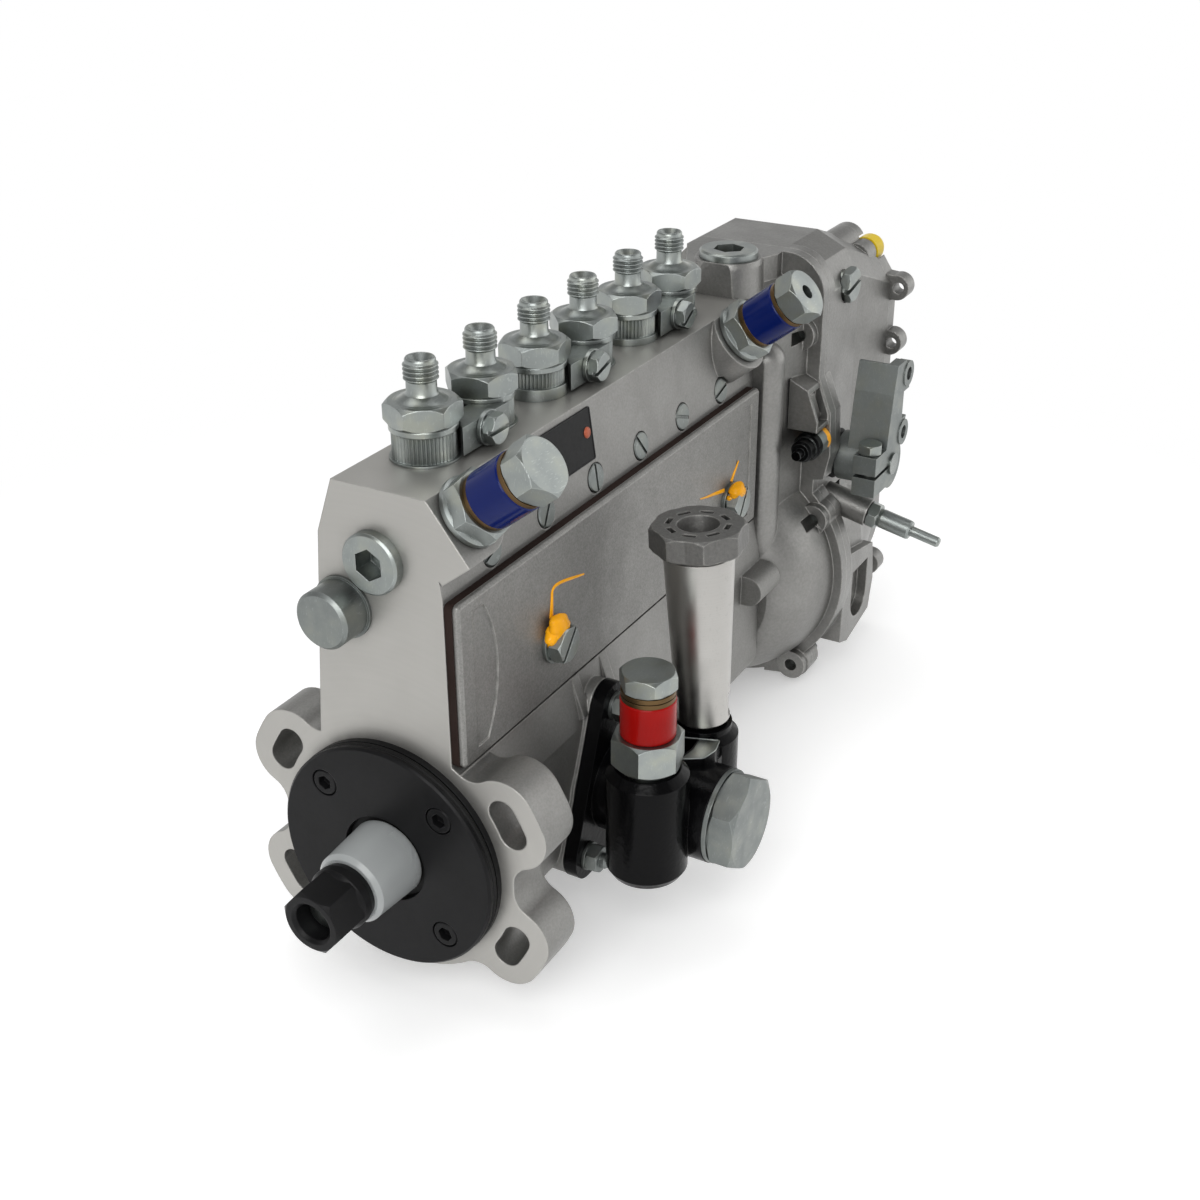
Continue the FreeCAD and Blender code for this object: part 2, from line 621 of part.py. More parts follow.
def camshaft():
    rear_seat = HOUSING_LENGTH - BEARING_WIDTH - 0.2
    profile = [(SHAFT_FRONT, SHAFT_THREAD_RADIUS - 1), (SHAFT_FRONT + 1, SHAFT_THREAD_RADIUS),
               (TAPER_FRONT, SHAFT_THREAD_RADIUS), (TAPER_FRONT, TAPER_SMALL_RADIUS), (TAPER_BACK, TAPER_LARGE_RADIUS),
               (TAPER_BACK, SHAFT_RADIUS - 0.4), (3.5, SHAFT_RADIUS - 0.4), (3.5, BEARING_BORE),
               (SPIGOT_LENGTH + BEARING_WIDTH, BEARING_BORE), (SPIGOT_LENGTH + BEARING_WIDTH, 16.5), (22, 16.5), (22, SHAFT_RADIUS),
               (rear_seat - 4, SHAFT_RADIUS), (rear_seat - 4, 16.5), (rear_seat - 0.6, 16.5), (rear_seat - 0.6, BEARING_BORE),
               (HOUSING_LENGTH, BEARING_BORE), (HOUSING_LENGTH, GOVERNOR_HUB_RADIUS), (SHAFT_SHOULDER, GOVERNOR_HUB_RADIUS),
               (SHAFT_SHOULDER, SPINDLE_RADIUS), (SHAFT_REAR - 1, SPINDLE_RADIUS), (SHAFT_REAR, SPINDLE_RADIUS - 1)]
    pieces = [turned(profile, V(0, 0, 0), X_AXIS)]
    for i in range(CYLINDERS):
        step = FIRING_ORDER.index(i + 1)
        pieces += cam(cylinder_x(i), 90.0 + step*360.0/CYLINDERS)
    pieces.append(cylinder(V(FEED_X - ECCENTRIC_WIDTH/2, 0, ECCENTRIC_OFFSET), X_AXIS, ECCENTRIC_RADIUS, ECCENTRIC_WIDTH))
    shaft = fused(pieces)
    key = box((-21, -2, 6.5), (-11, 2, 11.2))
    return [shaft.cut(key), key]


def shaft_sleeve():
    """The protective sleeve pushed over the taper and held by the nut."""
    profile = [(SLEEVE_BACK, SLEEVE_BACK_RADIUS - SLEEVE_WALL), (SLEEVE_BACK, SLEEVE_BACK_RADIUS),
               (SLEEVE_FRONT + 1.6, SLEEVE_FRONT_RADIUS), (SLEEVE_FRONT, SLEEVE_FRONT_RADIUS - 1.4),
               (SLEEVE_FRONT, SHAFT_THREAD_RADIUS + 0.2), (SLEEVE_FRONT + 1.2, SHAFT_THREAD_RADIUS + 0.2),
               (SLEEVE_FRONT + 1.2, SLEEVE_FRONT_RADIUS - SLEEVE_WALL)]
    return ring(profile, V(0, 0, 0), X_AXIS)


def shaft_nut():
    length = NUT_FLANGE_FRONT - NUT_FRONT
    body = hexagon(NUT_ACROSS_FLATS, length, 1.3)
    hexed = placed(body, V(NUT_FLANGE_FRONT, 0, 0), X_AXIS*-1, 20.0)
    collar = turned([(NUT_FLANGE_FRONT - 2.0, NUT_FLANGE_RADIUS - 1.6), (NUT_FLANGE_FRONT, NUT_FLANGE_RADIUS),
                     (NUT_BACK, NUT_FLANGE_RADIUS), (SLEEVE_FRONT - 0.2, NUT_FLANGE_RADIUS - 0.6)], V(0, 0, 0), X_AXIS)
    nut = fused([hexed, collar])
    nut = nut.cut(cylinder(V(NUT_FRONT - 1, 0, 0), X_AXIS, SHAFT_THREAD_RADIUS, 40))
    mouth = Part.makeCone(SHAFT_THREAD_RADIUS + 1.2, SHAFT_THREAD_RADIUS, 1.2, V(NUT_FRONT, 0, 0), X_AXIS)
    return nut.cut(mouth)


def cam_followers():
    """Roller tappets of the six elements and of the feed pump, clear of the noses of the cams."""
    roller_z = CAM_BASE_RADIUS + CAM_LIFT + LOOSE + ROLLER_RADIUS
    shapes = []
    for i in range(CYLINDERS):
        x = cylinder_x(i)
        body = cylinder(V(x, 0, TAPPET_LOW), Z_AXIS, TAPPET_RADIUS, TAPPET_HIGH - TAPPET_LOW)
        body = body.cut(box((x - ROLLER_WIDTH/2 - 0.4, -20, 0), (x + ROLLER_WIDTH/2 + 0.4, 20, roller_z + ROLLER_RADIUS + 1)))
        pin = cylinder(V(x - 10, 0, roller_z), X_AXIS, ROLLER_PIN_RADIUS, 20)
        roller = cylinder(V(x - ROLLER_WIDTH/2, 0, roller_z), X_AXIS, ROLLER_RADIUS, ROLLER_WIDTH)
        shapes += [body.cut(pin), fused([pin, roller])]
    reach = -(ECCENTRIC_RADIUS + ECCENTRIC_OFFSET + LOOSE + 6.0)
    rod = cylinder(V(FEED_X, reach - 3, FEED_Z), Y_AXIS*-1, 13.0, 14)
    wheel = cylinder(V(FEED_X - 4, reach, FEED_Z), X_AXIS, 6.0, 8)
    fork = box((FEED_X - 8, reach - 4, FEED_Z - 4), (FEED_X + 8, reach + 3, FEED_Z + 4))
    fork = fork.cut(box((FEED_X - 4.3, reach - 8, FEED_Z - 9), (FEED_X + 4.3, reach + 8, FEED_Z + 9)))
    piston = cylinder(V(FEED_X, reach - 17, FEED_Z), Y_AXIS*-1, 4.0, 22)
    shapes.append(fused([rod.cut(cylinder(V(FEED_X - 4.4, reach, FEED_Z), X_AXIS, 6.4, 8.8)), fork, piston]))
    shapes.append(fused([wheel, cylinder(V(FEED_X - 8, reach, FEED_Z), X_AXIS, 1.8, 16)]))
    shapes[-2] = shapes[-2].cut(shapes[-1])
    return shapes


def plunger_springs():
    """Plunger springs, each with its lower seat, drawn as the tube that the coils fill."""
    shapes = []
    for i in range(CYLINDERS):
        x = cylinder_x(i)
        shapes.append(ring([(SPRING_LOW, SPRING_OUTER - SPRING_WIRE), (SPRING_LOW, SPRING_OUTER),
                            (SPRING_HIGH, SPRING_OUTER), (SPRING_HIGH, SPRING_OUTER - SPRING_WIRE)], V(x, 0, 0), Z_AXIS))
        shapes.append(ring([(SPRING_LOW - 2.5, PLUNGER_RADIUS + LOOSE), (SPRING_LOW - 2.5, TAPPET_RADIUS - 0.8),
                            (SPRING_LOW, TAPPET_RADIUS - 0.8), (SPRING_LOW, PLUNGER_RADIUS + LOOSE)], V(x, 0, 0), Z_AXIS))
        shapes.append(ring([(SPRING_HIGH, BARREL_RADIUS + 2.4), (SPRING_HIGH, TAPPET_RADIUS), (SPRING_HIGH + 1.5, TAPPET_RADIUS),
                            (SPRING_HIGH + 1.5, BARREL_RADIUS + 2.4)], V(x, 0, 0), Z_AXIS))
    return shapes


def barrels_and_valves():
    shapes = []
    for i in range(CYLINDERS):
        base = V(cylinder_x(i), 0, 0)
        barrel = ring([(BARREL_LOW, PLUNGER_RADIUS + RUN), (BARREL_LOW, BARREL_RADIUS), (BARREL_COLLAR_LOW, BARREL_RADIUS),
                       (BARREL_COLLAR_LOW, BARREL_COLLAR_RADIUS), (BARREL_HIGH, BARREL_COLLAR_RADIUS),
                       (BARREL_HIGH, PLUNGER_RADIUS + RUN)], base, Z_AXIS)
        seat = ring([(BARREL_HIGH, 2.6), (BARREL_HIGH, 10.6), (BARREL_HIGH + 4, 10.6), (BARREL_HIGH + 4, 5.6),
                     (BARREL_HIGH + 10, 5.6), (BARREL_HIGH + 10, 2.6)], base, Z_AXIS)
        valve = turned([(BARREL_HIGH + 1, 2.5), (BARREL_HIGH + 9.9, 2.5), (BARREL_HIGH + 10.1, 2.5), (BARREL_HIGH + 12, 4.2),
                        (BARREL_HIGH + 14, 4.2)], base, Z_AXIS)
        shapes += [barrel, seat, valve]
    return shapes


def tooth_points(radius):
    """Half thickness of a tooth at its root, pitch line and tip, as (height, half thickness)."""
    slope = math.tan(math.radians(FLANK_ANGLE))
    return [(radius - DEDENDUM - 0.4, TOOTH_THICKNESS/2 + (DEDENDUM + 0.4)*slope), (radius + ADDENDUM, TOOTH_THICKNESS/2 - ADDENDUM*slope)]


def pitch_radius():
    return MODULE*QUADRANT_TEETH_IN_CIRCLE/2


def control_sleeve(i):
    """A control sleeve with its toothed quadrant, and the plunger that turns with it."""
    base = V(cylinder_x(i), 0, 0)
    bore = BARREL_RADIUS + RUN
    lower_bore = PLUNGER_RADIUS + 1.0
    lower = lower_bore + SLEEVE_WALL_THIN
    sleeve = ring([(CONTROL_SLEEVE_LOW, lower_bore), (CONTROL_SLEEVE_LOW, lower), (SPRING_HIGH + 0.3, lower),
                   (SPRING_HIGH + 0.3, bore + SLEEVE_WALL_THIN), (CONTROL_SLEEVE_HIGH, bore + SLEEVE_WALL_THIN),
                   (CONTROL_SLEEVE_HIGH, bore), (SPRING_HIGH + 1.2, bore), (SPRING_HIGH + 1.2, lower_bore)], base, Z_AXIS)
    (root, root_half), (tip, tip_half) = tooth_points(pitch_radius())
    start = RACK_Z - TOOTH_WIDTH/2
    quadrant = Part.makeCylinder(pitch_radius() - DEDENDUM, TOOTH_WIDTH, base + V(0, 0, start), Z_AXIS, 170)
    quadrant.rotate(base, Z_AXIS, 5)
    pieces = [quadrant]
    for k in range(-3, 4):
        angle = 90.0 + k*360.0/QUADRANT_TEETH_IN_CIRCLE
        tooth = prism([V(root, -root_half, start), V(tip, -tip_half, start), V(tip, tip_half, start), V(root, root_half, start)],
                      V(0, 0, TOOTH_WIDTH))
        tooth.rotate(V(0, 0, 0), Z_AXIS, angle)
        tooth.translate(base)
        pieces.append(tooth)
    quadrant = fused(pieces).cut(cylinder(base + V(0, 0, start - 1), Z_AXIS, bore + 0.5, TOOTH_WIDTH + 2))
    plunger = turned([(SPRING_LOW - 2.9, PLUNGER_RADIUS), (PLUNGER_TOP, PLUNGER_RADIUS)], base, Z_AXIS)
    reach = lower_bore - 0.4
    arm = box((base.x - reach, -1.6, 67), (base.x + reach, 1.6, 71))
    return [fused([sleeve, quadrant]), fused([plunger, arm])]


def control_rack():
    """A round rack with a flat, cut with a short row of teeth beside each element."""
    length = LEVER_X - 5 - RACK_FRONT
    bar = cylinder(V(RACK_FRONT, RACK_Y, RACK_Z), X_AXIS, RACK_RADIUS, length)
    tips = pitch_radius() - ADDENDUM
    roots = pitch_radius() + DEDENDUM
    slope = math.tan(math.radians(FLANK_ANGLE))
    pitch = math.pi*MODULE
    gap_half = (pitch - TOOTH_THICKNESS)/2
    cuts = [box((WALL_END + 2, 0, RACK_Z - 8), (HOUSING_LENGTH - WALL_END - 2 + RACK_TRAVEL, tips, RACK_Z + 8))]
    for i in range(CYLINDERS):
        for k in range(-3, 4):
            x = cylinder_x(i) + k*pitch
            bottom = gap_half - DEDENDUM*slope
            top = gap_half + (ADDENDUM + 1)*slope
            cuts.append(prism([V(x - bottom, roots, RACK_Z - 8), V(x + bottom, roots, RACK_Z - 8),
                               V(x + top, tips - 1, RACK_Z - 8), V(x - top, tips - 1, RACK_Z - 8)], V(0, 0, 16)))
    eye = box((LEVER_X - 6, RACK_Y - 4, RACK_Z - 6.5), (LEVER_X + 6, RACK_Y + 4, RACK_Z + 6.5))
    half = ROD_PIN_RADIUS + 0.2
    slot = box((LEVER_X - half, RACK_Y - 5, RACK_Z - 4.6), (LEVER_X + half, RACK_Y + 2, RACK_Z + 4.6))
    return fused([bar.cut(Part.makeCompound(cuts)), eye]).cut(slot)


def rack_end_cap():
    radius = 10.5
    front = -13.1
    cap = turned([(front, radius - 1.2), (front + 1.2, radius), (-1.2, radius), (-1.2, radius + 0.9), (0, radius + 0.9)],
                 V(0, RACK_Y, RACK_Z), X_AXIS)
    room = cylinder(V(front + 1.6, RACK_Y, RACK_Z), X_AXIS, RACK_RADIUS + 0.6, 20)
    return cap.cut(room)


def socket_plugs():
    """Hexagon socket plugs: the gallery's, in the front face, and the governor's filler plug."""
    gallery = turned([(-1, 8.9), (9, 8.9)], V(0, 0, 0), Z_AXIS)
    collar = turned([(-4.2, 10.2), (-3.4, 11.0), (0, 11.0)], V(0, 0, 0), Z_AXIS)
    socket = hexagon(10.0, 9.0, 0.1)
    socket.translate(V(0, 0, -5))
    front = placed(fused([gallery, collar]).cut(socket), V(0, 0, GALLERY_Z), X_AXIS)
    filler = turned([(-9, 9.9), (0, 9.9), (0, TOP_PLUG_RADIUS), (2.6, TOP_PLUG_RADIUS), (3.4, TOP_PLUG_RADIUS - 0.8)],
                    V(0, 0, 0), Z_AXIS)
    filler_socket = hexagon(12.0, 9.0, 0.1)
    filler_socket.translate(V(0, 0, -4.4))
    top = placed(filler.cut(filler_socket), V(TOP_PLUG_X, TOP_PLUG_Y, GOVERNOR_TOP + 1.2), Z_AXIS, 10)
    return [front, top]


def side_cover_plate(start, end, low, high, y, thickness, corner):
    plate = box((start, y - thickness, low), (end, y, high))
    uprights = [e for e in plate.Edges if e.BoundBox.YLength > thickness - 0.01]
    return plate.makeFillet(corner, uprights)


def side_cover():
    back = SEAT_Y - GASKET_THICKNESS
    plate = side_cover_plate(COVER_START, COVER_END, COVER_LOW, COVER_HIGH, back, COVER_PLATE_THICKNESS, 2.0)
    face = back - COVER_PLATE_THICKNESS
    rim = [e for e in plate.Edges if abs(e.BoundBox.YMax - face) < 0.01 and e.BoundBox.YLength < 0.01]
    plate = plate.makeChamfer(1.0, rim)
    middle = (COVER_LOW + COVER_HIGH)/2
    for x in (COVER_START - 26, COVER_END + 26):
        dish = cylinder(V(x, face - 1, middle), Y_AXIS, 48.0, 1.6)
        frame = box((COVER_START + 8, face - 1, COVER_LOW + 5), (COVER_END - 8, face + 0.6, COVER_HIGH - 5))
        plate = plate.cut(dish.common(frame))
    for x, z in COVER_SCREW_PLACES:
        plate = plate.cut(cylinder(V(x, face - 1, z), Y_AXIS, 4.2, 10))
    return plate


def side_cover_gasket():
    plate = side_cover_plate(COVER_START - 0.4, COVER_END, COVER_LOW - 0.2, COVER_HIGH, SEAT_Y, GASKET_THICKNESS, 2.0)
    plate = plate.cut(box((WALL_END, -60, SPRING_ROOM_LOW), (HOUSING_LENGTH - WALL_END, 0, SPRING_ROOM_HIGH)))
    return plate


def slotted_hex_screw(across_flats, head, shank_radius, shank, washer_radius):
    """A hexagon screw with a driver slot and a loose washer, its head's seat at the origin, pointing +Z."""
    top = hexagon(across_flats, head, 0.8)
    top.translate(V(0, 0, 1.5))
    top = top.cut(slot_cutter(1.6, 1.8, 40, head + 1.5))
    washer = turned([(0, washer_radius), (1.5, washer_radius)], V(0, 0, 0), Z_AXIS)
    stem = cylinder(V(0, 0, -shank), Z_AXIS, shank_radius, shank)
    return fused([top, washer, stem])


def side_cover_screws():
    face = SEAT_Y - GASKET_THICKNESS - COVER_PLATE_THICKNESS
    shapes = []
    for k, (x, z) in enumerate(COVER_SCREW_PLACES):
        screw = slotted_hex_screw(13.0, 5.3, 3.4, 12.0, 8.2)
        shapes.append(placed(screw, V(x, face, z), Y_AXIS*-1, 50.0 + 8*k))
    return shapes


def delivery_holder(i):
    """A delivery valve holder: serrated body, hexagon, neck and nipple with its sealing cone."""
    base = V(cylinder_x(i), 0, 0)
    shoulder = HOLDER_HEX_HIGH
    nipple_low = HOLDER_TIP - NIPPLE_LENGTH
    neck_low = nipple_low - NECK_LENGTH
    plain = HOLDER_PLAIN_RINGS[i]
    stem = turned([(HOLDER_LOW, 9.4), (DECK_HEIGHT - 4, 9.4), (DECK_HEIGHT - 4, HOLDER_RADIUS - 0.2), (DECK_HEIGHT, HOLDER_RADIUS - 0.2),
                   (DECK_HEIGHT, HOLDER_COLLAR_RADIUS), (DECK_HEIGHT + 0.8 + plain, HOLDER_COLLAR_RADIUS),
                   (DECK_HEIGHT + 0.8 + plain, HOLDER_RADIUS - SERRATION_DEPTH), (HOLDER_HEX_LOW - 2.2, HOLDER_RADIUS - SERRATION_DEPTH),
                   (HOLDER_HEX_LOW - 2.2, HOLDER_COLLAR_RADIUS - 0.4), (HOLDER_HEX_LOW, HOLDER_COLLAR_RADIUS - 0.4),
                   (HOLDER_HEX_LOW, 9.5), (shoulder, 9.5), (shoulder, 8.6), (shoulder + 0.8, 7.4),
                   (neck_low, NECK_RADIUS + 0.6), (neck_low + 0.8, NECK_RADIUS), (nipple_low, NECK_RADIUS), (nipple_low + 0.7, NIPPLE_RADIUS),
                   (HOLDER_TIP - 0.9, NIPPLE_RADIUS), (HOLDER_TIP, NIPPLE_RADIUS - 0.9)], V(0, 0, 0), Z_AXIS)
    nut = hexagon(HOLDER_ACROSS_FLATS, HOLDER_HEX_HIGH - HOLDER_HEX_LOW, 1.6)
    nut.rotate(V(0, 0, 0), Z_AXIS, HOLDER_HEX_TURNS[i])
    nut.translate(V(0, 0, HOLDER_HEX_LOW))
    low = DECK_HEIGHT + 0.8 + plain
    teeth = []
    for k in range(2*SERRATIONS):
        radius = HOLDER_RADIUS if k % 2 == 0 else HOLDER_RADIUS - SERRATION_DEPTH
        angle = math.pi*k/SERRATIONS
        teeth.append(V(radius*math.cos(angle), radius*math.sin(angle), low))
    serrated = prism(teeth, V(0, 0, HOLDER_HEX_LOW - 2.2 - low))
    body = fused([stem, nut, serrated])
    bore = cylinder(V(0, 0, HOLDER_LOW - 1), Z_AXIS, 5.8, 22)
    drill = cylinder(V(0, 0, HOLDER_LOW), Z_AXIS, 1.2, 60)
    cone = Part.makeCone(0.6, 4.4, 3.8, V(0, 0, HOLDER_TIP - 3.8), Z_AXIS)
    body = body.cut(Part.makeCompound([bore, drill, cone]))
    body.translate(base)
    return body


def pair_centres():
    return [cylinder_x(i) + PITCH/2 for i in range(0, CYLINDERS, 2)]


def clamp_jaws():
    """Jaws that lock the serrated holders in pairs, one on each side of each pair."""
    shapes = []
    for x in pair_centres():
        for side in (-1, 1):
            near = 2.5*side
            far = JAW_REACH*side
            wedge = prism([V(x - 5.0, near, JAW_LOW), V(x + 5.0, near, JAW_LOW), V(x + 14.0, far, JAW_LOW), V(x - 14.0, far, JAW_LOW)],
                          V(0, 0, JAW_HIGH - JAW_LOW))
            for offset in (-PITCH/2, PITCH/2):
                wedge = wedge.cut(cylinder(V(x + offset, 0, JAW_LOW - 1), Z_AXIS, HOLDER_COLLAR_RADIUS + 0.05, 20))
            wedge = wedge.cut(cylinder(V(x, -20, CLAMP_SCREW_Z), Y_AXIS, CLAMP_SCREW_RADIUS + 0.1, 40))
            shapes.append(wedge)
    return shapes


def clamp_screws():
    shapes = []
    for k, x in enumerate(pair_centres()):
        screw = slotted_hex_screw(10.0, 4.2, CLAMP_SCREW_RADIUS, 2*JAW_REACH + 1, 6.2)
        nut = hexagon(10.0, 3.6, 0.6)
        nut.translate(V(0, 0, -2*JAW_REACH - 3.7))
        shapes.append(placed(fused([screw, nut]), V(x, -JAW_REACH - 0.1, CLAMP_SCREW_Z), Y_AXIS*-1, 15.0*k))
    return shapes


def union_body():
    """The screwed-in half of a fuel union, from its seat along +Z."""
    collar = turned([(-12, UNION_HOLE_RADIUS - 0.1), (0, UNION_HOLE_RADIUS - 0.1), (0, UNION_COLLAR_RADIUS - 0.8),
                     (0.8, UNION_COLLAR_RADIUS), (2.6, UNION_COLLAR_RADIUS), (3.4, UNION_COLLAR_RADIUS - 1.0)], V(0, 0, 0), Z_AXIS)
    nut = hexagon(UNION_ACROSS_FLATS, UNION_HEX_HEIGHT - 2.0, 1.0)
    nut.translate(V(0, 0, 2.0))
    body = fused([collar, nut])
    return body.cut(cylinder(V(0, 0, -20), Z_AXIS, 4.5, 40))


def hollow_screw(open_end, height):
    """A hollow screw seen on its hexagon head, its head's seat at the origin, pointing +Z."""
    head = hexagon(HOLLOW_SCREW_ACROSS_FLATS, height, 1.2)
    stem = cylinder(V(0, 0, -24), Z_AXIS, 4.4, 24)
    screw = fused([head, stem])
    if open_end:
        screw = screw.cut(cylinder(V(0, 0, 2), Z_AXIS, 3.0, 20))
    return screw


def union_stack(seat, axis, sleeve_length):
    """Heights along a union's axis of its washers, cap sleeve and screw head."""
    lower_washer = seat + axis*UNION_HEX_HEIGHT
    sleeve = lower_washer + axis*WASHER_THICKNESS
    upper_washer = sleeve + axis*sleeve_length
    head = upper_washer + axis*WASHER_THICKNESS
    return lower_washer, sleeve, upper_washer, head


def washer():
    return ring([(0, 7.0), (0, WASHER_RADIUS), (WASHER_THICKNESS, WASHER_RADIUS), (WASHER_THICKNESS, 7.0)], V(0, 0, 0), Z_AXIS)


def cap_sleeve(length):
    return ring([(0, 7.2), (0, CAP_SLEEVE_RADIUS - 0.3), (0.5, CAP_SLEEVE_RADIUS), (length - 0.5, CAP_SLEEVE_RADIUS),
                 (length, CAP_SLEEVE_RADIUS - 0.3), (length, 7.2)], V(0, 0, 0), Z_AXIS)


def unions():
    """All the fuel unions: their bodies, hollow screws, cap sleeves and sealing washers."""
    axis = union_axis()
    bodies = []
    screws = []
    gallery_sleeves = []
    washers = []
    for x, turn, open_end in ((FRONT_UNION_X, 8, False), (REAR_UNION_X, 25, True)):
        seat = union_base(x)
        low, sleeve, high, head = union_stack(seat, axis, CAP_SLEEVE_LENGTH)
        bodies.append(placed(union_body(), seat, axis, turn))
        washers += [placed(washer(), low, axis), placed(washer(), high, axis)]
        gallery_sleeves.append(placed(cap_sleeve(CAP_SLEEVE_LENGTH), sleeve, axis))
        screws.append(placed(hollow_screw(open_end, HOLLOW_SCREW_HEAD), head, axis, turn + 12))
    seat = V(INLET_X, CHAMBERS_Y, INLET_TOP)
    nut = hexagon(24.0, 12.6, 1.4)
    foot = turned([(-8, 8.0), (0, 8.0), (0, 10.5), (1.6, 10.5)], V(0, 0, 0), Z_AXIS)
    nut.translate(V(0, 0, 1.6))
    inlet = fused([nut, foot]).cut(cylinder(V(0, 0, -20), Z_AXIS, 4.5, 60))
    bodies.append(placed(inlet, seat, Z_AXIS, 14))
    top = seat + Z_AXIS*14.2
    red = placed(cap_sleeve(CAP_SLEEVE_LENGTH), top, Z_AXIS)
    high = top + Z_AXIS*CAP_SLEEVE_LENGTH
    washers += [placed(washer(), high, Z_AXIS), placed(washer(), high + Z_AXIS*(WASHER_THICKNESS + 0.4), Z_AXIS)]
    screws.append(placed(hollow_screw(False, INLET_SCREW_HEAD), high + Z_AXIS*(2*WASHER_THICKNESS + 0.4), Z_AXIS, 40))
    return bodies, screws, gallery_sleeves, red, washers


def feed_pump_body():
    """The feed pump's casting: flange, piston barrel and the two valve chambers."""
    flange = feed_flange_plate(PAD_Y - FEED_FLANGE, FEED_FLANGE - 0.6, 9.4)
    barrel = cylinder(V(FEED_X, PAD_Y - 2, FEED_Z), Y_AXIS*-1, FEED_BODY_RADIUS, PAD_Y - 2 - FEED_BODY_END)
    inlet = turned([(INLET_BOTTOM, INLET_RADIUS - 5), (INLET_BOTTOM + 1.6, INLET_RADIUS - 1.8), (INLET_BOTTOM + 4.5, INLET_RADIUS),
                    (INLET_TOP - 3, INLET_RADIUS), (INLET_TOP, INLET_RADIUS - 3)], V(INLET_X, CHAMBERS_Y, 0), Z_AXIS)
    outlet = turned([(OUTLET_BOTTOM, OUTLET_RADIUS), (OUTLET_TOP, OUTLET_RADIUS), (OUTLET_TOP + 2.5, 11.4),
                     (PRIMER_FOOT - 0.8, 11.4)], V(OUTLET_X, CHAMBERS_Y, 0), Z_AXIS)
    bridge = box((INLET_X, CHAMBERS_Y - 12, FEED_Z - 12), (OUTLET_X, CHAMBERS_Y + 12, FEED_Z + 15))
    spigot = cylinder(V(FEED_X, PAD_Y - 2, FEED_Z), Y_AXIS, 15.9, 12)
    body = fused([flange, barrel, inlet, outlet, bridge, spigot])
    bore = cylinder(V(FEED_X, -20, FEED_Z), Y_AXIS*-1, 13.0 + RUN, 30)
    inner = cylinder(V(FEED_X, -40, FEED_Z), Y_AXIS*-1, 10.0, 70)
    mouths = [cylinder(V(INLET_X, CHAMBERS_Y, INLET_TOP - 9), Z_AXIS, 8.0, 20),
              cylinder(primer_base() - primer_axis()*9, primer_axis(), 7.0, 20)]
    bolts = [cylinder(V(b.x, PAD_Y - 20, b.z), Y_AXIS, 3.2, 30) for b in feed_bolts()]
    return body.cut(Part.makeCompound([bore, inner] + mouths + bolts))


def feed_pump_plugs():
    """The large plug over the piston spring and the smaller one under the outlet chamber."""
    head = hexagon(FEED_PLUG_ACROSS_FLATS, 10.4, 1.6)
    head.translate(V(0, 0, 1.8))
    collar = turned([(-12, 9.9), (0, 9.9), (0, 18.3), (1.8, 18.3)], V(0, 0, 0), Z_AXIS)
    big = placed(fused([head, collar]), V(FEED_X, FEED_BODY_END - 0.1, FEED_Z), Y_AXIS*-1, 28)
    small_head = hexagon(17.0, 5.0, 0.9)
    small_head.translate(V(0, 0, 1.8))
    small_collar = turned([(0, 9.6), (1.8, 9.6)], V(0, 0, 0), Z_AXIS)
    small = placed(fused([small_head, small_collar]), V(OUTLET_X, CHAMBERS_Y, OUTLET_BOTTOM - 0.1), Z_AXIS*-1, 10)
    return [big, small]


def feed_pump_nuts():
    shapes = []
    for k, place in enumerate(feed_bolts()):
        seat = V(place.x, PAD_Y - FEED_FLANGE, place.z)
        nut = hexagon(10.0, 5.0, 0.7)
        nut.translate(V(0, 0, 1.2))
        stud = turned([(-14, 3.0), (8.2, 3.0), (9, 2.4)], V(0, 0, 0), Z_AXIS)
        plate = turned([(0, 5.6), (1.2, 5.6)], V(0, 0, 0), Z_AXIS)
        shapes.append(placed(fused([nut, stud, plate]), seat, Y_AXIS*-1, 12.0*k))
    return shapes


def primer_axis():
    lean = math.radians(PRIMER_LEAN)
    return V(0, math.sin(lean), math.cos(lean))


def primer_base():
    return V(OUTLET_X, CHAMBERS_Y, PRIMER_FOOT)


def primer_barrel():
    """The hand primer's tapered cylinder, with spanner flats at its foot."""
    profile = [(-8, 6.9), (0, 6.9), (0, PRIMER_FOOT_RADIUS - 0.8), (0.8, PRIMER_FOOT_RADIUS), (14, PRIMER_FOOT_RADIUS + 0.4),
               (PRIMER_LENGTH - 0.6, PRIMER_TOP_RADIUS), (PRIMER_LENGTH, PRIMER_TOP_RADIUS - 0.6)]
    barrel = turned(profile, V(0, 0, 0), Z_AXIS)
    flats = [box((-20, side, 2), (20, side + 10, 12)) for side in (PRIMER_FOOT_RADIUS - 0.9, -PRIMER_FOOT_RADIUS - 9.1)]
    bore = cylinder(V(0, 0, 6), Z_AXIS, PRIMER_BORE, PRIMER_LENGTH)
    drill = cylinder(V(0, 0, -10), Z_AXIS, 3.0, 30)
    barrel = barrel.cut(Part.makeCompound(flats + [bore, drill]))
    return placed(barrel, primer_base(), primer_axis(), 32)


